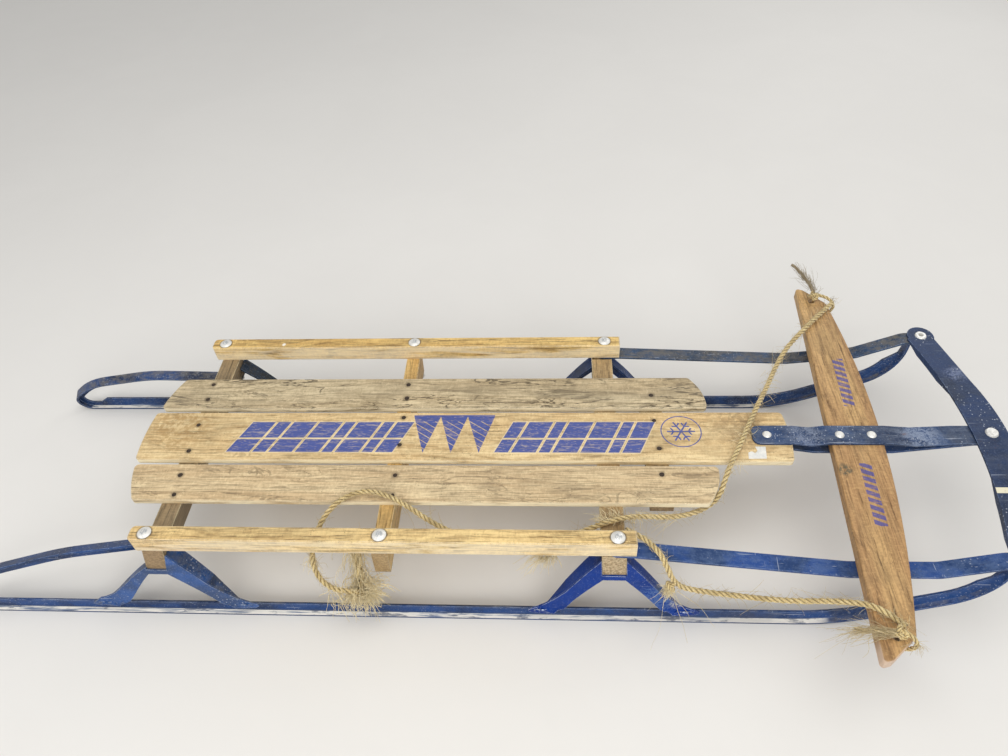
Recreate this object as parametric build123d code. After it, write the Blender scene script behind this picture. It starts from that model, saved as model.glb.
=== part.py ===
from build123d import *
import math
import os

# Runner sled: slatted deck on three bunks, pressed knees, T-section runners and a steered bumper.
# Millimetres. X forward, Y to the sled's left, Z up, floor at Z = 0, origin under the middle.

os.makedirs("parts", exist_ok=True)

# Overall size
NOSE_X = 684.5          # front edge of the bumper, and the rear loops reach as far back
BUNK_HALF = 175.0       # half the length of the bunks, which sets the sled's width
RUNNER_OUT = 7.0        # runner's web stands this far outside the bunks' ends
BOLT_INSET = 10.0       # bolts and rails, in from the bunks' ends

# Woodwork
DECK_Z = 134.0          # top of the bunks: slats and side rails lie on it
SLAT_T = 7.5
RAIL_W, RAIL_H = 20.5, 24.0
RAIL_REAR, RAIL_FRONT = -401.5, 205.0
BUNK_H = 43.0
REAR_X, MIDDLE_X, FRONT_X = -382.0, -96.0, 183.0      # the three bunks and their bolts
BATTEN_X, BATTEN_W, BATTEN_T, BATTEN_HALF = 242.0, 29.0, 14.0, 104.0

# Steelwork
PLATE = 3.0             # thickness of straps and bumper
WEB_T, RUNNER_H = 3.0, 20.0
FOOT_W, FOOT_T = 15.0, 3.0
LOOP_R, LOOP_SLOPE, LOOP_RUN = 22.0, 41.5, 104.0      # curl behind: radius, climb, run to the next bend
LOOP_TOP_X, LOOP_TOP_IN, LOOP_TOP_Z = -520.0, 25.5, 100.3     # bend on top of the loop
LOOP_END_IN, LOOP_END_Z = 38.0, 109.0                 # where the loop meets the rear bunk
LOOP_LEAN = 13.5        # the curl leans in by this much at its first bend
WEB_END_X, LOOP_WEB_X, LOOP_WEB_H = -648.0, -416.0, 11.0      # full web ends, then the low one on the loop
HORN_R1, HORN_SLOPE, HORN_R2, HORN_POST = 235.0, 25.0, 80.0, 10.6
HORN_BACK = 12.9        # upright end of the horn, behind the bumper's corner rivet

# Knees
KNEE_T, KNEE_SEAT_W = 2.5, 24.0
KNEE_RISE, KNEE_LIP = 28.0, 8.0                       # up beside the bunk, and down under its seat
KNEE_BEND_X, KNEE_BEND_Z = 58.0, -29.0                # bend in the legs' top edge, from the foot of the bunk
KNEE_LEG, FOOT_R = 22.0, 11.0

# Steering
PIVOT_X = 385.0
BAR_RIVETS = (477.0, 517.0)
BAR_X, BAR_Y, BAR_SKEW = 497.0, -2.2, -4.0            # the bar sits a little askew on its rivets
BAR_HALF, BAR_T, BAR_HOLE = 301.0, 16.0, 10.0
BAR_BACK, BAR_FRONT, BAR_END = 31.0, 34.0, 40.0       # behind and ahead of its middle, and width of its ends
BUMPER_X, BUMPER_W, CORNER_X = 664.0, 43.5, 636.0
STRAP_W, SIDE_STRAP_W = 30.0, 20.5
STRAP_DIP, STRAP_SAG = 21.7, 3.2      # side straps dip to clear the bar; the upper centre strap sags on each side of it
GAP = 0.3               # running clearance between pieces that move
EYE_PLAY = 2.4          # play of the straps' front eyes round the bumper's rivets

# Fasteners
BOLT_R, BOLT_HOLE_R, BOLT_HEAD_R, BOLT_HEAD_H = 3.0, 3.3, 8.7, 3.0
NUT_R, NUT_H = 6.3, 5.0
RIVET_R, RIVET_HEAD_R, RIVET_HEAD_H = 3.5, 6.0, 2.2
TUBE_R, TUBE_BORE_R, TUBE_HEAD_R, TUBE_HEAD_H = 5.0, 3.5, 8.0, 1.8

# Rope
ROPE_D = 7.0

RUNNER_Y = BUNK_HALF + RUNNER_OUT
RAIL_Y = BUNK_HALF - BOLT_INSET
SLAT_TOP = DECK_Z + SLAT_T
RAIL_TOP = DECK_Z + RAIL_H
BUNK_BOTTOM = DECK_Z - BUNK_H
STRAP_Z = SLAT_TOP + GAP                              # under face of the upper centre strap
BAR_BOTTOM = STRAP_Z - BAR_T
BUMPER_Z = STRAP_Z + PLATE + GAP
HORN_TOP = BUMPER_Z - 2 * (PLATE + GAP)
NOTCH = PLATE + 2 * GAP                               # seat of a side strap in the front bunk


def save(node, shape):
    shape.label = node
    export_step(shape, f"parts/{node}.step")


def block(x0, x1, y0, y1, z0, z1):
    return Pos((x0 + x1) / 2, (y0 + y1) / 2, (z0 + z1) / 2) * Box(x1 - x0, y1 - y0, z1 - z0)


def rod(x, y, z0, z1, r):
    return Pos(x, y, (z0 + z1) / 2) * Cylinder(r, z1 - z0)


def bevelled(x, y, z, r0, r1, height):
    """Rivet head that stands on z and narrows from r0 to r1; it points down if the height is negative."""
    cone = Cone(r0, r1, abs(height), align=(Align.CENTER, Align.CENTER, Align.MIN))
    return Pos(x, y, z) * Rot(180 if height < 0 else 0, 0, 0) * cone


def left_and_right(stem, shape):
    save(f"{stem}_left", shape)
    save(f"{stem}_right", mirror(shape, Plane.XZ))


def band(points, radius, thick, width):
    """Flat bar bent to a path in X and Z, lying across Y from -width/2 to +width/2."""
    path = FilletPolyline(*points, radius=radius)
    face = make_face(offset(path, amount=thick / 2, side=Side.BOTH, closed=True))
    return extrude(Plane.XZ * face, amount=width / 2, both=True)


# Slats. Each end is one arc across the slat, so the three ends make a long curve together.
# name, y of the sides, rear x at (first side, middle, second side), front x likewise
SLATS = [
    ("slat_middle", -41.7, 41.7, (-449, -452, -449), (412, 416, 412)),
    ("slat_left", 49.0, 106.5, (-446, -440, -428), (316, 313, 297)),
]
for name, y0, y1, rear, front in SLATS:
    ym = (y0 + y1) / 2
    outline = Curve() + [
        ThreePointArc((rear[0], y0), (rear[1], ym), (rear[2], y1)),
        Line((rear[2], y1), (front[2], y1)),
        ThreePointArc((front[2], y1), (front[1], ym), (front[0], y0)),
        Line((front[0], y0), (rear[0], y0)),
    ]
    slat = extrude(make_face(outline), amount=SLAT_T)
    slat = fillet(slat.edges().filter_by(Axis.Z), radius=6)
    slat = chamfer(slat.faces().sort_by(Axis.Z)[-1].edges(), length=0.8)
    slat = Pos(0, 0, DECK_Z) * slat
    if name == "slat_middle":
        slat -= rod(PIVOT_X, 0, DECK_Z - 1, SLAT_TOP + 1, RIVET_R + GAP)
        save(name, slat)
    else:
        left_and_right("slat", slat)

# Side rails, bored for their three bolts
rail = block(RAIL_REAR, RAIL_FRONT, RAIL_Y - RAIL_W / 2, RAIL_Y + RAIL_W / 2, DECK_Z, RAIL_TOP)
rail = fillet(rail.edges().filter_by(Axis.Z).sort_by(Axis.X)[:2], radius=6)
rail = chamfer(rail.faces().sort_by(Axis.Z)[-1].edges(), length=1.2)
for x in (REAR_X, MIDDLE_X, FRONT_X):
    rail -= rod(x, RAIL_Y, DECK_Z - 1, RAIL_TOP + 1, BOLT_HOLE_R)
left_and_right("side_rail", rail)

# Bunks. None stands quite square under its bolts, and the rear one leans back.
# name: x of the bolts, middle ahead of them, width, lean in degrees, end chamfer, depth of the strap's seat
BUNKS = {
    "bunk_rear": (REAR_X, 4.0, 26.0, 14.0, 4.0, 0),
    "bunk_middle": (MIDDLE_X, -3.0, 19.5, 2.0, 2.5, 0),
    "bunk_front": (FRONT_X, -3.5, 29.0, -3.0, 1.0, NOTCH),
}


def bunk_face(name, side, z):
    """X of a bunk's front (side 1) or rear (side -1) face at height z."""
    x, ahead, width, lean, end_chamfer, seat = BUNKS[name]
    return x + ahead + side * width / 2 - (DECK_Z - z) * math.tan(math.radians(lean))


bunks = {}
for name, (x, ahead, width, lean, end_chamfer, seat) in BUNKS.items():
    corners = [(bunk_face(name, side, z), z) for side, z in
               ((-1, DECK_Z), (1, DECK_Z), (1, BUNK_BOTTOM), (-1, BUNK_BOTTOM))]
    bunk = extrude(Plane.XZ * make_face(Polyline(*corners, close=True)), amount=BUNK_HALF, both=True)
    for end in (bunk.faces().sort_by(Axis.Y)[0], bunk.faces().sort_by(Axis.Y)[-1]):
        upright_edges = [e for e in end.edges() if abs((e % 0.5).Z) > 0.9]
        bunk = chamfer(upright_edges, length=end_chamfer)
    for side in (-1, 1):
        bunk -= rod(x, side * RAIL_Y, BUNK_BOTTOM - 1, DECK_Z + 1, BOLT_HOLE_R)
        if seat:
            y_in, y_out = sorted((side * (RAIL_Y - SIDE_STRAP_W / 2 - 4), side * (BUNK_HALF + 1)))
            bunk -= block(x - width, x + width, y_in, y_out, DECK_Z - seat, DECK_Z + 1)
    bunks[name] = bunk
    save(name, bunk)

# Short batten that ties the slats ahead of the front bunk
batten = block(BATTEN_X - BATTEN_W / 2, BATTEN_X + BATTEN_W / 2, -BATTEN_HALF, BATTEN_HALF,
               DECK_Z - BATTEN_T, DECK_Z)
save("front_batten", chamfer(batten.faces().sort_by(Axis.Z)[0].edges(), length=2))

# Carriage bolts with their nuts: name, x, z of the face over the nut
for name, x, under in [("rear", REAR_X, BUNK_BOTTOM - KNEE_T), ("middle", MIDDLE_X, BUNK_BOTTOM),
                       ("front", FRONT_X, BUNK_BOTTOM - KNEE_T)]:
    cap_r = (BOLT_HEAD_R ** 2 + BOLT_HEAD_H ** 2) / (2 * BOLT_HEAD_H)
    cap = Pos(0, 0, BOLT_HEAD_H - cap_r) * Sphere(cap_r) & Pos(0, 0, BOLT_HEAD_H) * Box(40, 40, 2 * BOLT_HEAD_H)
    bolt = Pos(x, RAIL_Y, RAIL_TOP) * cap + rod(x, RAIL_Y, under - NUT_H - 2, RAIL_TOP, BOLT_R)
    bolt += Pos(x, RAIL_Y, under) * extrude(RegularPolygon(radius=NUT_R, side_count=6), amount=-NUT_H)
    left_and_right(f"bolt_{name}", bolt)

# Runners: a T with its flat side down, curled up in front to the bumper
slope = math.radians(HORN_SLOPE)
post_x = CORNER_X - HORN_BACK
arc_c = (post_x - HORN_R2, HORN_TOP - HORN_POST)
horn_2 = (arc_c[0] + HORN_R2 * math.sin(slope), arc_c[1] - HORN_R2 * math.cos(slope))
horn_run = (horn_2[1] - HORN_R1 * (1 - math.cos(slope))) / math.sin(slope)
horn_1 = (horn_2[0] - horn_run * math.cos(slope), horn_2[1] - horn_run * math.sin(slope))
horn_start = horn_1[0] - HORN_R1 * math.sin(slope)
join_x = RAIL_REAR                                    # front and rear halves of a runner meet here


def horn_path(web_short):
    """Under edge of the runner from the join to the horn's top, or short of it by web_short."""
    turn = math.asin(web_short / HORN_R2)
    tip = (arc_c[0] + HORN_R2 * math.cos(turn), arc_c[1] - HORN_R2 * math.sin(turn))
    mid = (slope - math.pi / 2 - turn) / 2
    half = slope / 2
    lines = [
        Line((join_x, 0), (horn_start, 0)),
        ThreePointArc((horn_start, 0), (horn_start + HORN_R1 * math.sin(half), HORN_R1 * (1 - math.cos(half))), horn_1),
        Line(horn_1, horn_2),
        ThreePointArc(horn_2, (arc_c[0] + HORN_R2 * math.cos(mid), arc_c[1] + HORN_R2 * math.sin(mid)), tip),
    ]
    if not web_short:
        lines.append(Line(tip, (post_x, HORN_TOP + 1)))
    return Wire(lines)


def upright(path, depth, width):
    """Strip of this depth on the inner side of a path in X and Z, width across the runner."""
    face = make_face(offset(path, amount=depth, side=Side.LEFT, closed=True))
    return extrude(Plane.XZ * face, amount=width / 2, both=True)


web_tail = Polyline((join_x, RUNNER_H), (join_x, 0), (WEB_END_X - 12, 0), (WEB_END_X - 12, FOOT_T),
                    (WEB_END_X, RUNNER_H - 8), (WEB_END_X + 12, RUNNER_H), close=True)
horn = upright(horn_path(0), FOOT_T, FOOT_W) + upright(horn_path(10), RUNNER_H, WEB_T)
horn += extrude(Plane.XZ * make_face(web_tail), amount=WEB_T / 2, both=True)
tip_web = [(arc_c[0] + r * math.cos(turn), arc_c[1] - r * math.sin(turn)) for r, turn in
           ((HORN_R2 - RUNNER_H - 2, 0.58), (HORN_R2 - RUNNER_H - 4, 0), (HORN_R2 - FOOT_T - 1, 0),
            (HORN_R2 - FOOT_T - 1, 0.125))]
horn -= extrude(Plane.XZ * make_face(Polyline(*tip_web, close=True)), amount=WEB_T, both=True)
horn += block(post_x - FOOT_T, CORNER_X, -9, 9, HORN_TOP, HORN_TOP + PLATE)
horn += rod(CORNER_X, 0, HORN_TOP, HORN_TOP + PLATE, 9)
horn -= rod(CORNER_X, 0, HORN_TOP - 1, HORN_TOP + PLATE + 1, TUBE_R + GAP)

# The runner's rear half curls over, leans in and climbs to the rear bunk, where it ends flat
curl = math.radians(LOOP_SLOPE)
curl_turn = math.acos(-LOOP_RUN * math.cos(curl) / math.hypot(LOOP_RUN, LOOP_LEAN))
edge_out = FOOT_W / 2 * math.sin(math.atan2(LOOP_LEAN, LOOP_RUN * math.sin(curl)))
curl_x = LOOP_R + edge_out - NOSE_X - LOOP_R * math.tan(curl_turn / 2)
loop_end_x = bunk_face("bunk_rear", -1, LOOP_END_Z)
loop_bend = (curl_x + LOOP_RUN * math.cos(curl), -LOOP_LEAN, LOOP_RUN * math.sin(curl))
loop_top = (LOOP_TOP_X, -LOOP_TOP_IN, LOOP_TOP_Z)
loop_end = (loop_end_x, -LOOP_END_IN, LOOP_END_Z)


def loop_path(x_end):
    """Middle of the runner's outer face, from the join round the loop to x_end on its top."""
    share = (x_end - LOOP_TOP_X) / (loop_end_x - LOOP_TOP_X)
    end = tuple(p + share * (q - p) for p, q in zip(loop_top, loop_end))
    corners = [(join_x, 0, 0), (curl_x, 0, 0), loop_bend, loop_top, end]
    return Wire(FilletPolyline(*corners, radius=[LOOP_R, 150, 300]).edges())


start = Plane(origin=(join_x, 0, 0), x_dir=(0, -1, 0), z_dir=(-1, 0, 0))
flat_strip = start * Pos(0, FOOT_T / 2) * Rectangle(FOOT_W, FOOT_T)
web_strip = start * Pos(0, (LOOP_WEB_H + FOOT_T / 2) / 2) * Rectangle(WEB_T, LOOP_WEB_H - FOOT_T / 2)
loop = sweep(flat_strip, path=loop_path(loop_end_x + 5)) + sweep(web_strip, path=loop_path(LOOP_WEB_X))
tab_z = LOOP_END_Z - 9
tab = Rot(0, BUNKS["bunk_rear"][3], 0) * Box(PLATE, FOOT_W - 2, 20, align=(Align.MAX, Align.CENTER, Align.CENTER))
loop += Pos(bunk_face("bunk_rear", -1, tab_z), -LOOP_END_IN, tab_z) * tab
loop -= Pos(0, -RUNNER_Y, 0) * bunks["bunk_rear"]
left_and_right("runner", Pos(0, RUNNER_Y, 0) * (horn + loop))

# Knees: pressed saddles under the rear and front bunks. The upper edge of each leg is turned in.
# name, bunk, then for the leg behind and the leg ahead: reach to the foot, depth of the turned-in edge, rise
KNEES = [
    ("knee_rear", "bunk_rear", (106.0, 10.0, 5.0), (96.0, 24.0, KNEE_RISE)),
    ("knee_front", "bunk_front", (96.0, 24.0, KNEE_RISE), (97.0, 16.0, KNEE_RISE)),
]
web_face = RUNNER_Y + WEB_T / 2
foot_low = FOOT_T + GAP - BUNK_BOTTOM
foot_mid = 13.0 - BUNK_BOTTOM
lean_out = math.atan2(web_face - BUNK_HALF, BUNK_BOTTOM - RUNNER_H)
face_plane = Plane(origin=(0, BUNK_HALF, BUNK_BOTTOM), x_dir=(1, 0, 0),
                   z_dir=(0, -math.cos(lean_out), -math.sin(lean_out)))
foot_plane = Plane(origin=(0, web_face, BUNK_BOTTOM), x_dir=(1, 0, 0), z_dir=(0, -1, 0))


def knee_leg(top, seat, reach, depth, rise):
    """One leg ahead of a bunk at X = 0: a leaning cheek, its turned-in upper edge and a round riveted foot.

    top and seat are the X of the bunk's face at the leg's top, which is rise above the bunk's under side, and there."""
    bend = KNEE_BEND_X + (top + seat) / 2 - 15
    edge = [(top, rise), (bend, KNEE_BEND_Z), (reach + FOOT_R - 4, foot_mid + FOOT_R - 2)]
    under = [(reach - KNEE_LEG, foot_low + 4), (bend - 9, KNEE_BEND_Z - KNEE_LEG + 2), (seat - 1, -KNEE_LIP), (seat, 0)]
    cheek = make_face(Polyline(*edge, (reach, foot_mid), *under, close=True))
    cheek = extrude(face_plane * cheek, amount=-KNEE_T)
    pad = Pos(reach, foot_mid) * Circle(FOOT_R) + make_face(
        Polyline((reach - KNEE_LEG, foot_low), (reach, foot_low), (reach, foot_mid + FOOT_R),
                 (reach - FOOT_R - 3, foot_mid + FOOT_R), close=True))
    pad &= Pos(reach, foot_low + 50) * Rectangle(200, 100)
    cheek += extrude(foot_plane * pad, amount=-KNEE_T)
    cheek -= block(0, 200, 0, web_face, FOOT_T, BUNK_BOTTOM + foot_mid + FOOT_R)
    turned = band([(x, z + BUNK_BOTTOM - KNEE_T) for x, z in edge], 12, KNEE_T, 2 * BUNK_HALF + 60)
    plan = Polyline((top, BUNK_HALF - depth), (bend, BUNK_HALF - depth * 0.5), (reach - 8, web_face + 1),
                    (top, web_face + 1), close=True)
    turned &= extrude(make_face(plan), amount=200)
    outside = [(BUNK_HALF + (BUNK_BOTTOM - z) * math.tan(lean_out) + KNEE_T / 2, z) for z in (DECK_Z, 0)]
    outside = Polyline(*outside, (250, 0), (250, DECK_Z), close=True)
    turned -= extrude(Plane.YZ * make_face(outside), amount=250, both=True)
    rivet = Pos(reach, web_face + KNEE_T, BUNK_BOTTOM + foot_mid) * Rot(-90, 0, 0) * bevelled(0, 0, 0, 4.0, 2.5, 1.6)
    return cheek + turned + rivet


for name, bunk, behind, ahead in KNEES:
    x = BUNKS[bunk][0]
    (top_back, seat_back), (top_front, seat_front) = (
        [side * GAP + bunk_face(bunk, side, BUNK_BOTTOM + rise) - x for rise in (leg[2], 0)]
        for side, leg in ((-1, behind), (1, ahead)))
    seat = block(seat_back, seat_front, BUNK_HALF - KNEE_SEAT_W, BUNK_HALF + KNEE_T / 2,
                 BUNK_BOTTOM - KNEE_T, BUNK_BOTTOM)
    lip = Polyline((seat_back, 0), (seat_front, 0), (seat_front - 1, -KNEE_LIP), (seat_back + 1, -KNEE_LIP),
                   close=True)
    knee = seat + extrude(face_plane * make_face(lip), amount=-KNEE_T) + knee_leg(top_front, seat_front, *ahead)
    knee += mirror(knee_leg(-top_back, -seat_back, *behind), Plane.YZ)
    knee = Pos(x, 0, 0) * knee - rod(x, RAIL_Y, BUNK_BOTTOM - 10, BUNK_BOTTOM + 1, BOLT_HOLE_R)
    left_and_right(name, knee - bunks[bunk])

# Side straps from the front bolts, down under the steering bar and up to the bumper's corners
strap_z = DECK_Z - GAP - PLATE / 2
corner_z = BUMPER_Z - GAP - PLATE / 2
reach = math.hypot(CORNER_X - FRONT_X, RUNNER_Y - RAIL_Y)
splay = math.degrees(math.atan2(RUNNER_Y - RAIL_Y, CORNER_X - FRONT_X))
bar_from_bolt = BAR_X - FRONT_X
strap = band([(-20, strap_z), (22, strap_z), (bar_from_bolt - 46, strap_z - STRAP_DIP), (bar_from_bolt + 52, strap_z - STRAP_DIP + 7),
              (reach - 23, corner_z), (reach + 20, corner_z)], 25, PLATE, SIDE_STRAP_W + 2)
plan = Pos(reach / 2, 0) * SlotCenterToCenter(reach, SIDE_STRAP_W)
strap &= extrude(plan, amount=200)
strap -= rod(0, 0, 50, 200, BOLT_HOLE_R)
strap -= extrude(Pos(reach, 0) * SlotOverall(2 * (TUBE_R + EYE_PLAY), 2 * (TUBE_R + 2 * GAP)), amount=200)
left_and_right("side_strap", Pos(FRONT_X, RAIL_Y, 0) * Rot(0, 0, splay) * strap)

# Steering bar: straight behind, bowed in front, clipped ends, a rope hole at each end
bow_y = BAR_HALF - 33
tip_x = BAR_END - BAR_BACK
clip = BAR_END * 0.275
outline = Curve() + [
    Line((-BAR_BACK, -BAR_HALF), (-BAR_BACK, BAR_HALF)),
    Line((-BAR_BACK, BAR_HALF), (clip - BAR_BACK, BAR_HALF - 4)),
    Line((clip - BAR_BACK, BAR_HALF - 4), (tip_x, bow_y)),
    ThreePointArc((tip_x, bow_y), (BAR_FRONT, 0), (tip_x, -bow_y)),
    Line((tip_x, -bow_y), (clip - BAR_BACK, 4 - BAR_HALF)),
    Line((clip - BAR_BACK, 4 - BAR_HALF), (-BAR_BACK, -BAR_HALF)),
]
bar = extrude(make_face(outline), amount=BAR_T)
bar = fillet(bar.edges().filter_by(Axis.Z), radius=4)
bar = fillet(bar.faces().sort_by(Axis.Z)[-1].edges() + bar.faces().sort_by(Axis.Z)[0].edges(), radius=2.5)
for side in (-1, 1):
    bar -= rod(19 - BAR_BACK, side * (bow_y + 2), -1, BAR_T + 1, BAR_HOLE / 2)
bar = Pos(BAR_X, BAR_Y, BAR_BOTTOM) * Rot(0, 0, BAR_SKEW) * bar
for x in BAR_RIVETS:
    bar -= rod(x, 0, BAR_BOTTOM - 1, SLAT_TOP + 1, RIVET_R + 0.1)
save("steering_bar", bar)

# Centre straps that clasp the deck's nose and the bar, and meet under the bumper
nose_r = 8.5
strap_back = PIVOT_X - 7
strap_end = BUMPER_X + STRAP_W / 2
upper_z = STRAP_Z + PLATE / 2
upper = band([(strap_back - 20, upper_z), (PIVOT_X + 34, upper_z), (PIVOT_X + 56, upper_z - STRAP_SAG),
              (BAR_X - 38, upper_z), (BAR_X + 39, upper_z), (BAR_X + 72, upper_z - STRAP_SAG),
              (CORNER_X - 16, upper_z), (strap_end + 10, upper_z)], 20, PLATE, STRAP_W)
plan = Polyline((strap_back, nose_r), (strap_back + 41, STRAP_W / 2), (BUMPER_X, STRAP_W / 2),
                (BUMPER_X, -STRAP_W / 2), (strap_back + 41, -STRAP_W / 2), (strap_back, -nose_r), close=True)
plan = make_face(plan) + Pos(strap_back, 0) * Circle(nose_r) + Pos(BUMPER_X, 0) * Circle(STRAP_W / 2)
upper &= extrude(plan, amount=200)
lower = band([(strap_back - 18, strap_z), (PIVOT_X + 20, strap_z), (BAR_X - 51, BAR_BOTTOM - PLATE / 2),
              (BAR_X + 48, BAR_BOTTOM - PLATE / 2), (BUMPER_X - 24, STRAP_Z - PLATE / 2), (BUMPER_X + 20, STRAP_Z - PLATE / 2)],
             10, PLATE, STRAP_W)
lower_w = STRAP_W - 4
lower &= extrude(Pos((strap_back - 6 + BUMPER_X) / 2, 0) * SlotCenterToCenter(BUMPER_X - strap_back + 6, lower_w), amount=200)
for x in (PIVOT_X,) + BAR_RIVETS:
    upper -= rod(x, 0, 100, 160, RIVET_R + 0.1)
    lower -= rod(x, 0, 100, 160, RIVET_R + 0.1)
upper -= rod(BUMPER_X, 0, 100, 160, RIVET_R + EYE_PLAY)
lower -= rod(BUMPER_X, 0, 100, 160, RIVET_R + EYE_PLAY)
save("centre_strap_upper", upper)
save("centre_strap_lower", lower)

# Solid rivets: name, x, z of the lower and of the upper face that it clamps
for name, x, z0, z1 in [("deck_rivet", PIVOT_X, strap_z - PLATE / 2, STRAP_Z + PLATE),
                        ("bar_rivet_rear", BAR_RIVETS[0], BAR_BOTTOM - PLATE, STRAP_Z + PLATE),
                        ("bar_rivet_front", BAR_RIVETS[1], BAR_BOTTOM - PLATE, STRAP_Z + PLATE)]:
    rivet = rod(x, 0, z0, z1, RIVET_R) + bevelled(x, 0, z1, RIVET_HEAD_R, RIVET_HEAD_R - 2, RIVET_HEAD_H)
    save(name, rivet + bevelled(x, 0, z0, RIVET_HEAD_R, RIVET_HEAD_R - 1.5, -RIVET_HEAD_H))

# Bumper: a crescent plate with round corners and a turned-down inner edge
corner_r = 18.0
nose_in = NOSE_X - BUMPER_W
tip_out, tip_in = (CORNER_X + 14, RUNNER_Y + 3), (CORNER_X - 20, RUNNER_Y - 6)
bow = (NOSE_X - 12.5, RUNNER_Y / 2)                   # the outer edge is straight from the corner to here
crescent = Curve() + [
    Line((tip_out[0], -tip_out[1]), (bow[0], -bow[1])),
    ThreePointArc((bow[0], -bow[1]), (NOSE_X, 0), bow),
    Line(bow, tip_out),
    Line(tip_out, tip_in),
    ThreePointArc(tip_in, (nose_in, 0), (tip_in[0], -tip_in[1])),
    Line((tip_in[0], -tip_in[1]), (tip_out[0], -tip_out[1])),
]
bumper = extrude(make_face(crescent), amount=PLATE)
for side in (-1, 1):
    bumper += rod(CORNER_X, side * RUNNER_Y, 0, PLATE, corner_r)
    bumper -= rod(CORNER_X, side * RUNNER_Y, -1, PLATE + 1, TUBE_R + 0.1)
bumper -= rod(BUMPER_X, 0, -1, PLATE + 1, RIVET_R + 0.1)
inner_edge = Edge.make_three_point_arc(tip_in, (nose_in, 0), (tip_in[0], -tip_in[1]))
for side in (-1, 1):
    ends = sorted(0.5 - side * share for share in (0.48, 0.2))
    lip_face = make_face(offset(Wire([inner_edge.trim(*ends)]), amount=PLATE - 0.5, side=Side.LEFT, closed=True))
    lip = Pos(0, 0, -6) * extrude(lip_face, amount=7)
    hull = Polyline((side * 62, 1), (side * 100, -6), (side * 150, -6), (side * (RUNNER_Y - 6), 1), close=True)
    bumper += lip & extrude(Plane.YZ * make_face(hull), amount=NOSE_X)
save("bumper", Pos(0, 0, BUMPER_Z) * bumper)

# Bumper rivets: a dished solid one in the middle, and a tubular one at each corner
rim = revolve(Plane.XZ * make_face(Polyline((0, 0), (TUBE_HEAD_R, 0), (TUBE_HEAD_R - 1.2, TUBE_HEAD_H + 0.8),
                                            (TUBE_HEAD_R - 2.6, TUBE_HEAD_H + 0.8), (0, 0.9), close=True)), Axis.Z)
clamped = STRAP_Z - PLATE - 0.2
rivet = Pos(BUMPER_X, 0, BUMPER_Z + PLATE) * rim + rod(BUMPER_X, 0, clamped, BUMPER_Z + PLATE, RIVET_R)
save("bumper_rivet_centre", rivet + bevelled(BUMPER_X, 0, clamped, RIVET_HEAD_R + 1.5, RIVET_HEAD_R, -RIVET_HEAD_H))
for name, side in (("bumper_rivet_left", 1), ("bumper_rivet_right", -1)):
    y, z0, top = side * RUNNER_Y, HORN_TOP - 0.2, BUMPER_Z + PLATE
    tube = rod(CORNER_X, y, z0 - 2, top, TUBE_R)
    tube += bevelled(CORNER_X, y, top, TUBE_HEAD_R, TUBE_HEAD_R - 1.2, TUBE_HEAD_H)
    tube += rod(CORNER_X, y, z0 - 2, z0, TUBE_HEAD_R - 0.5)
    save(name, tube - rod(CORNER_X, y, z0 - 3, top + 3, TUBE_BORE_R))


# Rope: straight runs joined by tangent arcs
def rope(node, points):
    vectors = [Vector(*p) for p in points]
    radii = []
    for p, q, r in zip(vectors, vectors[1:], vectors[2:]):
        half_turn = math.radians((q - p).get_angle(r - q)) / 2
        radii.append(min(400.0, 0.45 * min((q - p).length, (r - q).length) / math.tan(half_turn)))
    path = FilletPolyline(*points, radius=radii)
    wire = Wire(path.edges())
    start = Plane(origin=wire @ 0, z_dir=wire % 0)
    tube = sweep(start * Circle(ROPE_D / 2), path=wire)
    print(node, "length", round(wire.length, 1), "volume ratio",
          round(tube.volume / (math.pi * ROPE_D ** 2 / 4 * wire.length), 4), "radii", [round(r) for r in radii])
    save(node, tube)


rope("rope_long", [
    (520, 262, 149), (500, 232, 149), (474, 198, 148), (449, 165, 139), (424, 128, 134), (400, 90, 138),
    (381, 52, 147), (362, 12, 149), (343, -28, 149), (328, -62, 145), (320, -88, 134), (300, -104, 125),
    (276, -112, 122), (248, -114, 126), (222, -119, 134), (200, -126, 142), (178, -132, 143), (155, -138, 136),
    (130, -144, 127), (96, -151, 124), (58, -154, 123), (20, -151, 124), (-14, -142, 128), (-44, -130, 136),
    (-68, -117, 145), (-94, -103, 149), (-126, -94, 149), (-153, -104, 147), (-172, -122, 140), (-183, -142, 128),
    (-187, -163, 118), (-183, -181, 104), (-172, -191, 87), (-152, -195, 76), (-128, -191, 70),
])
rope("rope_short", [
    (476, -263, 149), (463, -249, 149), (448, -238, 146), (430, -230, 137), (408, -223, 125), (380, -218, 114),
    (349, -211, 105), (317, -203, 98), (287, -199, 97), (263, -198, 105), (251, -195, 119), (243, -191, 132),
    (236, -179, 141), (225, -165, 142), (211, -153, 142), (194, -144, 142),
])
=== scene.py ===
import math
import random

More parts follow.
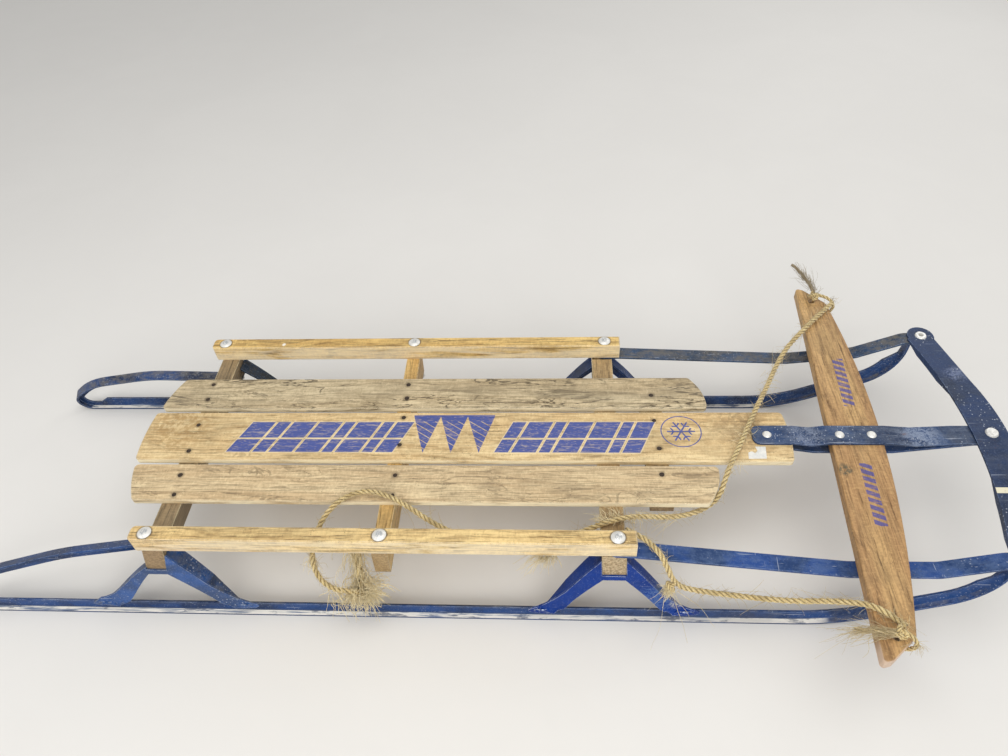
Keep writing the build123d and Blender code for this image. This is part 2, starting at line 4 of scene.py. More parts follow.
import bmesh
import bpy
from mathutils import Euler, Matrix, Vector


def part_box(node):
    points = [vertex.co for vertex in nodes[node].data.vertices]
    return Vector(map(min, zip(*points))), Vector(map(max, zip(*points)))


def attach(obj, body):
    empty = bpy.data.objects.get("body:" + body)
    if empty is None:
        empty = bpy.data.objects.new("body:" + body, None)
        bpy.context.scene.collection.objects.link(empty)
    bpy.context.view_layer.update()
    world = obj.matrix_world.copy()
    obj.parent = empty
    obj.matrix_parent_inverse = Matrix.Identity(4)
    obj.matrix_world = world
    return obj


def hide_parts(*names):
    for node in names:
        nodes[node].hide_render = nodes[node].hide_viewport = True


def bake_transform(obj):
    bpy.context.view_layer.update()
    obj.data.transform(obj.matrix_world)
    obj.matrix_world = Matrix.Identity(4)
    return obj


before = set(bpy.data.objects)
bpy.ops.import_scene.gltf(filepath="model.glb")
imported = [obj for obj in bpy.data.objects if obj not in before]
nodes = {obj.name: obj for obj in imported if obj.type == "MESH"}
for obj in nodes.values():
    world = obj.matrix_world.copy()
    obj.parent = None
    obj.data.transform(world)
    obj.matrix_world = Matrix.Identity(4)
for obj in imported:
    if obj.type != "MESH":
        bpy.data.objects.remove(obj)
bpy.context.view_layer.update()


def middle_of(node):
    """X and Y of a node's middle, to a tenth of a millimetre."""
    low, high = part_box(node)
    return round((low[0] + high[0]) / 2, 4), round((low[1] + high[1]) / 2, 4)


# Places and sizes on the sled, in metres
DECK_TOP = round(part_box("slat_middle")[1][2], 4)
RAIL_BOLTS = [middle_of(f"bolt_{place}_{side}") for place in ("rear", "middle", "front")
              for side in ("right", "left")]
ROPE_D = 0.007
FAR_NAILS = [(-0.3846, 0.0954), (-0.3837, 0.0665), (-0.0975, 0.0943), (-0.0965, 0.0682), (0.2431, 0.0728)]
MID_NAILS = [(-0.3816, 0.0187), (-0.3800, -0.0270), (-0.0959, 0.0321), (-0.0951, -0.0157), (0.2431, 0.0268),
             (0.2453, -0.0210)]
NEAR_NAILS = [(-0.3777, -0.0670), (-0.3751, -0.0980), (-0.0940, -0.0657), (-0.0932, -0.0973),
              (0.2445, -0.0626)]

# Print on the middle slat: slanted bars with a thin gap along their middle, peaks with fine stripes, a
# ringed snowflake. Each bar is its rear and front x on the slat's middle line; the other pairs are where an
# edge fades
BARS = [(-0.316, -0.284), (-0.280, -0.262), (-0.258, -0.226), (-0.222, -0.190), (-0.186, -0.172),
        (-0.168, -0.136), (-0.132, -0.118), (-0.114, -0.091), (0.044, 0.062), (0.066, 0.098), (0.102, 0.116),
        (0.120, 0.152), (0.156, 0.188), (0.192, 0.206), (0.210, 0.233)]
BARS_Y, BARS_LEAN, BARS_HALO = (-0.0280, 0.0240), -0.45, 0.0014
GAP_FAR, GAP_NEAR = (-0.0038, -0.0034), (-0.0062, -0.0066)
PEAKS_X, PEAKS_Y, PEAK_HALF, PEAK_TOP, PEAK_STEEP = (-0.0815, 0.0295), (-0.0315, 0.0365), 0.0185, 0.034, -3.4
STRIPE_PITCH, STRIPE_LEAN, STRIPE, STRIPE_TOP = 0.0055, 0.7, (0.0008, 0.0004), (0.026, 0.024)
RING, RING_R = (0.2765, 0.0080), (0.0252, 0.0267)
ARM, ARM_REACH = (0.0013, 0.0009), (0.0185, 0.0180)
TWIG, TWIG_REACH, TWIG_AT, TWIG_LEAN = (0.0014, 0.0010), (0.0060, 0.0054), 0.0098, 0.6

# Print on the steering bar: two rows of strokes, the rows' width in x and their lengths in y
STROKES_X, STROKES_Y = (0.4930, 0.5075), [(0.052, 0.142), (-0.136, -0.044)]
STROKE_PITCH, STROKE, STROKE_LEAN, BAR_SKEW = 0.0055, (0.0036, 0.0032), 0.45, -0.07
BAR_TIP_Y = (-0.268, -0.288)

# Colours that pieces of one kind share: wood, enamel, the runners' feet, prints; the wood's ring round the
# bolts is partly stain and partly painted shade
VEIL, SPECK, END_LINE, NAIL_STAIN, BOLT_STAIN_AND_SHADE = "#9a917c", "#4c3a24", "#7c6340", "#3d2f20", "#43372a"
DOT, PIT, SCRATCH, RUST, CREAM = "#b9bfca", "#3d3026", "#b4bccb", "#6b4630", "#e6dfc4"
FOOT_SHADE, FOOT_WORN, FOOT_BARE, FOOT_GRIME = "#3b4a68", "#8390a6", "#ebe7dd", "#44506a"
INK, INK_HALO, BAR_INK, BAR_TIP = "#3c509a", "#ecdcb6", "#474a92", "#dcc3ae"


# Materials

def tint(code):
    """Linear colour from a web colour code."""
    parts = [int(code[start:start + 2], 16) / 255 for start in (1, 3, 5)]
    return [part / 12.92 if part < 0.04045 else ((part + 0.055) / 1.055) ** 2.4 for part in parts] + [1.0]


class Shader:
    """One procedural material, put together node by node in the sled's own coordinates."""

    def __init__(self, name):
        self.mat = bpy.data.materials.new(name)
        self.mat.use_nodes = True
        self.tree = self.mat.node_tree
        self.tree.nodes.clear()
        self.bsdf = self.node("ShaderNodeBsdfPrincipled")
        out = self.node("ShaderNodeOutputMaterial")
        self.tree.links.new(self.bsdf.outputs[0], out.inputs[0])
        self.place = self.node("ShaderNodeTexCoord").outputs["Object"]
        split = self.node("ShaderNodeSeparateXYZ")
        self.put(split.inputs[0], self.place)
        self.x, self.y, self.z = split.outputs

    def node(self, kind, **settings):
        made = self.tree.nodes.new(kind)
        for key, value in settings.items():
            setattr(made, key, value)
        return made

    def put(self, socket, value):
        if isinstance(value, bpy.types.NodeSocket):
            self.tree.links.new(value, socket)
        else:
            socket.default_value = value

    def math(self, op, a, b=0.0, c=0.0):
        made = self.node("ShaderNodeMath", operation=op)
        for socket, value in zip(made.inputs, (a, b, c)):
            self.put(socket, value)
        return made.outputs[0]

    def fade(self, value, low, high):
        """0 where value is at low or before it, 1 at high or after it, smooth between."""
        made = self.node("ShaderNodeMapRange", interpolation_type="SMOOTHSTEP")
        for socket, number in zip(made.inputs, (value, low, high, 0.0, 1.0)):
            self.put(socket, number)
        return made.outputs[0]

    def both(self, *masks):
        whole = masks[0]
        for mask in masks[1:]:
            whole = self.math("MULTIPLY", whole, mask)
        return whole

    def either(self, *masks):
        whole = masks[0]
        for mask in masks[1:]:
            whole = self.math("MAXIMUM", whole, mask)
        return whole

    def share(self, mask, amount):
        return self.math("MULTIPLY", mask, amount)

    def mix(self, mask, a, b):
        made = self.node("ShaderNodeMix", data_type="RGBA")
        for index, value in ((0, mask), (6, a), (7, b)):
            self.put(made.inputs[index], value)
        return made.outputs[2]

    def cover(self, colour, *layers):
        """The colour with layers over it; each is a mask, how much of it shows, and its own colour."""
        for mask, amount, over in layers:
            colour = self.mix(self.share(mask, amount), colour, tint(over) if isinstance(over, str) else over)
        return colour

    def stretched(self, scale, shift):
        """The coordinates, scaled alike or along each axis, and moved off to another place in the noise."""
        made = self.node("ShaderNodeVectorMath", operation="MULTIPLY_ADD")
        self.put(made.inputs[0], self.place)
        self.put(made.inputs[1], scale if hasattr(scale, "__len__") else (scale, scale, scale))
        self.put(made.inputs[2], (shift, shift * 1.7, shift * 0.6))
        return made.outputs[0]

    def noise(self, scale, detail, rough, warp, shift):
        made = self.node("ShaderNodeTexNoise")
        self.put(made.inputs["Vector"], self.stretched(scale, shift))
        for key, value in (("Scale", 1.0), ("Detail", detail), ("Roughness", rough), ("Distortion", warp)):
            made.inputs[key].default_value = value
        return made.outputs["Fac"]

    def cells(self, scale, shift):
        made = self.node("ShaderNodeTexVoronoi")
        self.put(made.inputs["Vector"], self.stretched(scale, shift))
        made.inputs["Scale"].default_value = 1.0
        return made.outputs["Distance"]

    def near(self, points, low, high):
        """1 within low of the nearest point, 0 beyond high; a point without a height counts at any height."""
        flat = self.node("ShaderNodeCombineXYZ")
        self.put(flat.inputs[0], self.x)
        self.put(flat.inputs[1], self.y)
        nearest = None
        for point in points:
            made = self.node("ShaderNodeVectorMath", operation="DISTANCE")
            self.put(made.inputs[0], self.place if len(point) == 3 else flat.outputs[0])
            made.inputs[1].default_value = (*point, 0)[:3]
            distance = made.outputs["Value"]
            nearest = distance if nearest is None else self.math("MINIMUM", nearest, distance)
        return self.fade(nearest, high, low)

    def facing(self):
        """X, Y and Z of the way each face looks."""
        geometry = self.node("ShaderNodeNewGeometry")
        split = self.node("ShaderNodeSeparateXYZ")
        self.put(split.inputs[0], geometry.outputs["True Normal"])
        return split.outputs

    def facing_up(self, low=0.5, high=0.9):
        return self.fade(self.facing()[2], low, high)

    def edges(self, radius, low, high):
        """Mask of the edges, by how far a rounded normal turns from the true one; also gives that normal."""
        bevel = self.node("ShaderNodeBevel", samples=6)
        bevel.inputs["Radius"].default_value = radius
        geometry = self.node("ShaderNodeNewGeometry")
        dot = self.node("ShaderNodeVectorMath", operation="DOT_PRODUCT")
        self.put(dot.inputs[0], bevel.outputs[0])
        self.put(dot.inputs[1], geometry.outputs["Normal"])
        turn = self.math("SUBTRACT", 1.0, dot.outputs["Value"])
        return self.fade(turn, low, high), bevel.outputs[0]

    def finish(self, colour, rough, height, depth, normal=None, metal=0.0, **sockets):
        """The finished material; height is a relief of that depth, on the rounded normal if one is given."""
        bump = self.node("ShaderNodeBump")
        bump.inputs["Distance"].default_value = depth
        self.put(bump.inputs["Height"], height)
        if normal:
            self.put(bump.inputs["Normal"], normal)
        for key, value in (("Base Color", colour), ("Roughness", rough), ("Metallic", metal),
                           ("Normal", bump.outputs[0])):
            self.put(self.bsdf.inputs[key], value)
        for key, value in sockets.items():
            self.bsdf.inputs[key.replace("_", " ")].default_value = value
        return self.mat


# Noise layers of sawn wood: scale along and across the grain, detail, roughness, warp, place in the noise
WOOD_LAYERS = {
    "broad": (1.8, 20, 4, 0.6, 0.5, 0),
    "wander": (2.6, 13, 2, 0.5, 0.3, 7),
    "fibre": (14, 560, 2, 0.6, 0.0, 3),
    "streak": (7, 170, 4, 0.68, 0.25, 5),
    "flame": (46, 120, 4, 0.68, 0.8, 13),
    "gleam": (30, 170, 3, 0.64, 0.5, 17),
    "ticks": (330, 150, 3, 0.7, 0.3, 31),
    "dashes": (17, 460, 4, 0.7, 0.45, 19),
    "pores": (38, 900, 1, 0.4, 0.0, 11),
    "cloud": (9, 14, 5, 0.62, 0.6, 20),
    "smear": (7, 60, 4, 0.6, 0.8, 30),
    "ends": (200, 320, 2, 0.7, 0.2, 50),
}
VEIL_LAYER = (4, 22, 4, 0.6, 0.4, 60)
CRACK_LAYER, CRACK_PLACES = (7, 30, 4, 0.6, 1.6, 23), (6, 26, 2, 0.5, 0.3, 29)
RINGS_ACROSS, RINGS_DEEP, RINGS_WANDER = 62.0, 78.0, 9.0
WOOD_EDGE, WOOD_RELIEF = 0.0026, 0.00045


def wood(name, along, pale, tan, brown, shift, dirt="#6e6049", dirty=0.35, grey=0.0, nails=(), spots=(),
         bolts=(), rough=0.56, extra=None, end_tint="#a98f6b", wear_and_highlight="#f4e5bb", sides=0.0, dash=0.5, mottle=0.3,
         waves=0.0):
    """Sawn wood with its grain along X or Y: bands, wandering rings, figure, dashes, pores and cracks, then
    dirt, side faces lifted by painted light, edges worn pale and brightened by a painted highlight, end
    grain, stains round nails, a ring of stain and painted shade round bolts, spots, and what extra prints on
    it."""
    s = Shader(f"wood_{name}")

    def layer(lengthwise, across, detail, roughness, warp, place):
        scale = (lengthwise, across, across) if along == "X" else (across, lengthwise, across)
        return s.noise(scale, detail, roughness, warp, shift + place)

    def ramp(key, low, high):
        return s.fade(layers[key], low, high)

    layers = {key: layer(*numbers) for key, numbers in WOOD_LAYERS.items()}
    pale, tan, brown = tint(pale), tint(tan), tint(brown)
    dark = [part * 0.42 for part in brown[:3]] + [1.0]
    light = [min(1.0, part * 1.2) for part in pale[:3]] + [1.0]
    rings = s.math("MULTIPLY_ADD", s.y if along == "X" else s.x, RINGS_ACROSS,
                   s.math("MULTIPLY", layers["wander"], RINGS_WANDER))
    rings = s.math("PINGPONG", s.math("MULTIPLY_ADD", s.z, RINGS_DEEP, rings), 0.5)
    late = s.fade(rings, 0.28, 0.5)
    pores = s.both(ramp("pores", 0.58, 0.66), s.fade(late, 0.1, 0.7))
    dashes = ramp("dashes", 0.55, 0.61)
    colour = s.cover(
        s.mix(ramp("broad", 0.36, 0.64), pale, tan),
        (s.both(late, ramp("streak", 0.35, 0.65)), 0.5, brown),
        (ramp("streak", 0.52, 0.72), 0.3, brown),
        (ramp("flame", 0.45, 0.64), mottle, brown),
        (ramp("gleam", 0.54, 0.68), mottle, light),
        (dashes, dash, dark),
        (ramp("fibre", 0.47, 0.64), 0.36, brown),
        (pores, 0.6, dark),
        (ramp("ticks", 0.50, 0.66), 0.24, brown),
        (ramp("ticks", 0.46, 0.34), 0.3, light))
    if waves:
        crack = s.fade(s.math("ABSOLUTE", s.math("SUBTRACT", layer(*CRACK_LAYER), 0.5)), 0.022, 0.008)
        colour = s.cover(colour, (s.both(crack, s.fade(layer(*CRACK_PLACES), 0.42, 0.54)), waves, dark))
    height = s.math("ADD", s.share(layers["fibre"], 0.5),
                    s.math("SUBTRACT", s.share(layers["streak"], 0.6), s.share(pores, 0.5)))
    height = s.math("SUBTRACT", height, s.share(dashes, 0.4))

    colour = s.cover(colour, (ramp("cloud", 0.46, 0.68), dirty, dirt),
                     (ramp("smear", 0.54, 0.72), dirty, dirt))
    if grey:
        colour = s.cover(colour, (s.fade(layer(*VEIL_LAYER), 0.25, 0.7), grey, VEIL))
    speck = s.both(s.fade(s.cells(260, shift), 0.20, 0.09),
                   s.fade(s.noise(40, 2, 0.5, 0, shift + 9), 0.50, 0.58))
    colour = s.cover(colour, (speck, 0.6, SPECK))
    edge, rounded = s.edges(WOOD_EDGE, 0.02, 0.14)
    facing = s.facing()
    # Faces that look sideways are painted paler, broken by the smear noise: painted light on the sides
    if sides:
        lit_flank = s.fade(s.math("ABSOLUTE", facing[2]), 0.8, 0.4)
        colour = s.cover(colour, (s.both(lit_flank, ramp("smear", 0.66, 0.46)), sides, wear_and_highlight))
    # Edges are worn pale, and the same pale colour paints a highlight along them
    worn_and_lit_edge = s.both(edge, s.fade(s.noise((30, 80, 80), 3, 0.6, 0, shift + 40), 0.28, 0.46))
    cut = s.fade(s.math("ABSOLUTE", facing[0 if along == "X" else 1]), 0.75, 0.95)
    end_grain = s.mix(ramp("ends", 0.35, 0.7), tint(end_tint), tint(END_LINE))
    colour = s.cover(colour, (worn_and_lit_edge, 0.8, wear_and_highlight), (cut, 0.75, end_grain))
    ragged = s.fade(s.noise((70, 130, 130), 3, 0.6, 0.5, shift), 0.3, 0.6)
    level = s.fade(facing[2], 0.7, 0.9)
    if nails:
        colour = s.cover(colour, (s.both(s.near(nails, 0.0028, 0.0072), ragged), 0.6, NAIL_STAIN))
    # Round each bolt a dark ring, partly stain and partly painted contact shade at the head's foot
    if bolts:
        stain_and_shade = s.both(s.near(bolts, 0.0088, 0.0112), level, s.math("MULTIPLY_ADD", ragged, 0.6, 0.4))
        colour = s.cover(colour, (stain_and_shade, 0.75, BOLT_STAIN_AND_SHADE))
    for place, radius, code, amount in spots:
        patch = s.both(s.near([place], radius * 0.4, radius), level,
                       s.fade(s.noise(150, 4, 0.6, 0.4, shift + place[0] * 50), 0.42, 0.6))
        colour = s.cover(colour, (patch, amount, code))
    if extra:
        colour = extra(s, colour)
    roughness = s.math("MULTIPLY_ADD", layers["cloud"], 0.22, rough - 0.1)
    return s.finish(colour, roughness, height, WOOD_RELIEF, rounded, Coat_Weight=0.05, Coat_Roughness=0.4)


def print_wear(s, shift):
    """How much of a print is left: nearly all, thinned along the grain and flecked."""
    rubbed = s.fade(s.noise((40, 300, 300), 4, 0.65, 0.2, shift), 0.30, 0.46)
    scraped = s.fade(s.noise((160, 700, 500), 3, 0.7, 0.0, shift + 4), 0.32, 0.46)
    return s.both(rubbed, scraped)


def band_mask(s, value, low, high, soft=0.0003):
    return s.both(s.fade(value, low - soft, low + soft), s.fade(value, high + soft, high - soft))


def deck_print(s, colour):
    """Plain slanted bars on both sides of a row of peaks, and a ringed snowflake ahead of them."""
    slant = s.math("MULTIPLY_ADD", s.y, BARS_LEAN, s.x)

    def bars(grow):
        mask = s.either(*[band_mask(s, slant, low - grow, high + grow) for low, high in BARS])
        gap = s.either(s.fade(s.y, *[y - grow for y in GAP_FAR]), s.fade(s.y, *[y + grow for y in GAP_NEAR]))
        return s.both(mask, band_mask(s, s.y, BARS_Y[0] - grow, BARS_Y[1] + grow), gap)

    saw = s.math("PINGPONG", s.math("SUBTRACT", s.x, PEAKS_X[0]), PEAK_HALF)
    peak = s.math("MULTIPLY_ADD", saw, PEAK_STEEP, PEAK_TOP)
    peaks = s.both(s.fade(s.math("SUBTRACT", s.y, peak), -0.0004, 0.0004), band_mask(s, s.y, *PEAKS_Y),
                   band_mask(s, s.x, *PEAKS_X))
    stripe = s.math("PINGPONG", s.math("MULTIPLY_ADD", s.x, STRIPE_LEAN, s.y), STRIPE_PITCH)
    stripe = s.both(s.fade(stripe, *STRIPE), s.fade(s.y, *STRIPE_TOP))
    peaks = s.math("SUBTRACT", peaks, s.share(stripe, 0.9))

    left, up = s.math("SUBTRACT", s.x, RING[0]), s.math("SUBTRACT", s.y, RING[1])
    radius = s.math("SQRT", s.math("ADD", s.math("MULTIPLY", left, left), s.math("MULTIPLY", up, up)))
    fold = s.math("PINGPONG", s.math("ARCTAN2", up, left), math.pi / 6)
    reach = s.math("MULTIPLY", radius, s.math("COSINE", fold))
    aside = s.math("MULTIPLY", radius, s.math("SINE", fold))
    arm = s.both(s.fade(aside, *ARM), s.fade(reach, *ARM_REACH))
    twig = s.math("SUBTRACT", s.math("SUBTRACT", reach, s.share(aside, TWIG_LEAN)), TWIG_AT)
    twig = s.both(s.fade(s.math("ABSOLUTE", twig), *TWIG), s.fade(aside, *TWIG_REACH))

    level = s.facing_up()
    colour = s.cover(colour, (s.both(bars(BARS_HALO), level), 0.55, INK_HALO))
    mark = s.either(bars(0.0), peaks, arm, twig, band_mask(s, radius, *RING_R))
    mark = s.both(mark, level, s.math("MULTIPLY_ADD", print_wear(s, 2.0), 0.42, 0.55))
    return s.mix(mark, colour, tint(INK))


def bar_print(s, colour):
    """Two rows of slanted strokes along the steering bar, one on each side of the strap; a pale worn tip."""
    lean = s.math("MULTIPLY_ADD", s.x, STROKE_LEAN, s.y)
    across = s.math("MULTIPLY_ADD", s.y, BAR_SKEW, s.x)
    strokes = s.fade(s.math("PINGPONG", lean, STROKE_PITCH), *STROKE)
    rows = s.either(*[band_mask(s, s.y, low, high) for low, high in STROKES_Y])
    mark = s.both(strokes, band_mask(s, across, *STROKES_X, 0.0004), rows)
    mark = s.both(mark, s.facing_up(), s.math("MULTIPLY_ADD", print_wear(s, 5.0), 0.45, 0.42))
    colour = s.mix(mark, colour, tint(BAR_INK))
    return s.cover(colour, (s.both(s.fade(s.y, *BAR_TIP_Y), s.facing_up(0.95, 0.6)), 0.7, BAR_TIP))


# Noise layers of the enamel: scale, detail, roughness, warp, place in the noise
STEEL_LAYERS = {
    "cloud": (16, 5, 0.62, 0.5, 0),
    "fine": (75, 5, 0.7, 0.3, 3),
    "grit": (420, 3, 0.7, 0.0, 6),
    "dotted": (24, 2, 0.5, 0, 12),
    "scratched": ((14, 520, 300), 2, 0.5, 0.3, 15),
    "crossed": ((300, 22, 300), 2, 0.5, 0.5, 18),
    "chipped": (120, 4, 0.65, 0.3, 21),
    "rusted": (24, 5, 0.7, 0.4, 25),
    "pitted": (30, 2, 0.5, 0, 44),
}
STEEL_EDGE, STEEL_RELIEF = 0.0014, 0.0004


def blue_steel(name, shift, tone, dark, dusty, dust, speckle, rust, foot=None, rough=0.38, cream=None,
               patches=(), wear_and_highlight="#8ea3c6", gloss=0.25):
    """Worn blue enamel: dust on what faces up, scratches, chipped edges also brightened by a painted
    highlight, and below foot a sole rubbed pale.
    """
    s = Shader(f"blue_{name}")
    layers = {key: s.noise(*numbers[:4], shift + numbers[4]) for key, numbers in STEEL_LAYERS.items()}
    edge, rounded = s.edges(STEEL_EDGE, 0.02, 0.14)
    fine, grit = layers["fine"], layers["grit"]
    dragged = s.noise((22, 130, 200), 4, 0.68, 0.5, shift + 9)
    settled = s.math("MULTIPLY_ADD", fine, 0.5, s.share(dragged, 0.5))
    settled = s.both(s.facing_up(0.2, 0.85), s.fade(settled, 0.40, 0.60))
    film = s.share(s.fade(fine, 0.42, 0.7), 0.2)
    dust_mask = s.math("MULTIPLY", s.either(settled, film), s.math("MULTIPLY_ADD", grit, 0.9, 0.45))
    colour = s.cover(s.mix(s.fade(layers["cloud"], 0.38, 0.64), tint(tone), tint(dark)),
                     (s.fade(grit, 0.52, 0.66), dusty * 0.25, wear_and_highlight), (dust_mask, dusty, dust))
    for place, radius, code, amount in patches:
        patch = s.both(s.near([place], radius * 0.25, radius),
                       s.fade(s.math("MULTIPLY_ADD", grit, 0.5, s.share(fine, 0.5)), 0.43, 0.55))
        colour = s.cover(colour, (patch, amount, code))
    dots = s.both(s.fade(s.cells(230, shift), 0.24, 0.14), s.fade(layers["dotted"], 0.46, 0.58))
    pits = s.both(s.fade(s.cells(250, shift + 40), 0.22, 0.12), s.fade(layers["pitted"], 0.46, 0.56))
    lines = s.either(s.fade(layers["scratched"], 0.70, 0.74), s.fade(layers["crossed"], 0.72, 0.76))
    # Chipped edges in the pale edge colour, which also paints a highlight along the edges
    chipped_and_lit_edge = s.both(edge, s.fade(layers["chipped"], 0.38, 0.54))
    rusty = s.both(s.fade(layers["rusted"], 0.64, 0.72), s.fade(fine, 0.45, 0.6))
    colour = s.cover(colour, (dots, speckle, DOT), (pits, 0.3 + rust * 2, PIT), (lines, 0.55, SCRATCH),
                     (chipped_and_lit_edge, 0.7, wear_and_highlight), (rusty, rust * 4, RUST))
    if foot:
        low = s.fade(s.z, foot, foot * 0.72)
        flat = s.both(low, s.facing_up())
        bare = s.both(flat, s.fade(s.noise((12, 160, 260), 4, 0.68, 0.4, shift + 31), 0.37, 0.52))
        grime = s.both(low, s.fade(s.noise((26, 90, 200), 4, 0.7, 0.2, shift + 34), 0.54, 0.64))
        colour = s.cover(colour, (low, 0.5, FOOT_SHADE), (flat, 0.6, FOOT_WORN), (bare, 0.92, FOOT_BARE),
                         (grime, 0.75, FOOT_GRIME))
    if cream:
        line = s.both(band_mask(s, s.y, *cream, 0.0002), s.facing_up())
        colour = s.mix(s.both(line, s.fade(fine, 0.2, 0.35)), colour, tint(CREAM))
    roughness = s.math("MULTIPLY_ADD", dust_mask, 0.4, rough)
    height = s.math("ADD", s.share(fine, 0.6), s.math("SUBTRACT", s.share(grit, 0.15), s.share(dots, 0.2)))
    return s.finish(colour, roughness, height, STEEL_RELIEF, rounded, s.share(chipped_and_lit_edge, 0.3),
                    Coat_Weight=0.05, Coat_Roughness=0.25, Specular_IOR_Level=gloss)


def bright_steel(name, shift):
    """Zinc-plated fasteners: dull silver lifted near white by painted light, with scuffs, a rubbed crown,
    edges darkened as a painted outline of shade, and rust freckles.
    """
    s = Shader(name)
    edge, rounded = s.edges(0.0008, 0.03, 0.25)
    cloud = s.noise(150, 4, 0.6, 0.3, shift)
    scuff = s.noise((900, 260, 400), 3, 0.6, 0.4, shift + 2)
    crown = s.both(s.near(RAIL_BOLTS, 0.0036, 0.0052), s.fade(scuff, 0.40, 0.56))
    freckle = s.both(s.fade(s.noise(520, 3, 0.7, 0, shift + 5), 0.62, 0.72), s.fade(cloud, 0.5, 0.62))
    # The near-white base is painted light in place of the plating's bright shine; the darker edges are
    # painted shade
    colour = s.cover(s.mix(s.fade(cloud, 0.35, 0.7), tint("#f1f0eb"), tint("#dcdad4")),
                     (s.fade(scuff, 0.52, 0.66), 0.6, "#f4f3ee"), (crown, 0.7, "#9aa0a6"),
                     (s.fade(edge, 0.2, 0.8), 0.5, "#8b887f"), (freckle, 0.65, "#6a5646"))
    roughness = s.math("MULTIPLY_ADD", scuff, 0.25, 0.24)
    metal = s.math("MULTIPLY_ADD", freckle, -0.25, 0.3)
    return s.finish(colour, roughness, scuff, 0.0002, rounded, metal)


def plain_rough(name, pale, deep, scale, rough):
    """A dull clouded surface, for the nails, the paper and the floor."""
    s = Shader(name)
    cloud = s.noise(scale, 4, 0.65, 0.4, 1.0)
    fine = s.noise(scale * 6, 3, 0.6, 0.0, 2.0)
    colour = s.mix(s.fade(cloud, 0.3, 0.7), tint(pale), tint(deep))
    return s.finish(s.cover(colour, (s.fade(fine, 0.5, 0.8), 0.4, deep)), rough, fine, 0.0003)


def fibre_shader(name, pale, deep, dusty=0.0):
    """Sisal, with painted shade in the grooves of its twist, placed by the mesh's ridge attribute."""
    s = Shader(name)
    fine = s.noise(900, 3, 0.6, 0.0, 3.0)
    broad = s.noise(60, 3, 0.6, 0.3, 5.0)
    ridge = s.node("ShaderNodeAttribute", attribute_name="ridge").outputs["Fac"]
    # The ridge layer darkens the grooves between the strands: painted shade
    colour = s.cover(s.mix(s.fade(fine, 0.3, 0.7), tint(pale), tint(deep)),
                     (s.fade(broad, 0.45, 0.75), 0.5, "#8f7848"),
                     (s.fade(ridge, 0.97, 0.62), 0.85, "#6f5526"))
    if dusty:
        colour = s.mix(dusty, colour, tint("#9b9180"))
    return s.finish(colour, 0.72, fine, 0.0004, Sheen_Weight=0.25, Sheen_Roughness=0.5)


# A spot or patch is its place, radius, colour and strength
# sides is how much painted light lifts the side faces; the pale edge colour is wear and painted highlight
WOODS = {
    "slat_middle": wood("slat_middle", "X", "#f2d9a6", "#e2c28c", "#b08d5a", 1.0, nails=MID_NAILS,
                        dirt="#86724f", dirty=0.26, extra=deck_print, dash=0.26, waves=0.3, sides=0.9,
                        wear_and_highlight="#fbeecb", spots=[((0.352, 0.012), 0.05, "#967a54", 0.5),
                                              ((-0.405, 0.02), 0.06, "#a8824a", 0.6)]),
    "slat_left": wood("slat_far", "X", "#e2cfa8", "#cbb48c", "#8b7653", 13.0, nails=FAR_NAILS,
                      dirt="#837356", dirty=0.42, grey=0.25, rough=0.62, dash=0.36, mottle=0.42, waves=0.95,
                      sides=0.8, wear_and_highlight="#efe2c2"),
    "slat_right": wood("slat_near", "X", "#edd7ab", "#d9bd91", "#a08560", 27.0, nails=NEAR_NAILS,
                       dirt="#8a785c", dirty=0.28, grey=0.08, rough=0.58, dash=0.36, mottle=0.34, waves=0.5,
                       sides=0.9, wear_and_highlight="#fbeecb"),
    "side_rail_left": wood("rail_far", "X", "#f3d187", "#dfb66c", "#8f6932", 41.0, dirty=0.2, dash=0.62,
                           sides=0.45, bolts=RAIL_BOLTS, wear_and_highlight="#fff6dc",
                           spots=[((-0.2923, 0.1621), 0.004, "#f4efe2", 1.0)]),
    "side_rail_right": wood("rail_near", "X", "#f3d494", "#dfb97b", "#946f3a", 57.0, dirty=0.24, dash=0.62,
                            sides=0.4, bolts=RAIL_BOLTS, wear_and_highlight="#fff6dc"),
    "bunk_rear": wood("bunk_rear", "Y", "#a58d69", "#8a7450", "#5a4a30", 71.0, dirty=0.5, grey=0.15,
                      rough=0.62, end_tint="#a98c66"),
    "bunk_middle": wood("bunk_middle", "Y", "#e3c07e", "#cfa562", "#8b6832", 83.0, dirty=0.4, dirt="#77603a",
                        sides=0.1),
    "bunk_front": wood("bunk_front", "Y", "#cfb080", "#b59463", "#735a35", 97.0, grey=0.1,
                       end_tint="#d6c29e"),
    "front_batten": wood("batten", "Y", "#c4a97e", "#a98b5c", "#6d5433", 103.0, dirty=0.45, grey=0.15),
    "steering_bar": wood("bar", "Y", "#d2ab72", "#bb9160", "#7f5d36", 117.0, dirty=0.26, extra=bar_print,
                         dirt="#836c4a", dash=0.26, mottle=0.22, wear_and_highlight="#f0dcb0", waves=0.25,
                         spots=[((0.4700, -0.0545), 0.013, "#4b5040", 0.8)], end_tint="#d9c2ab"),
}
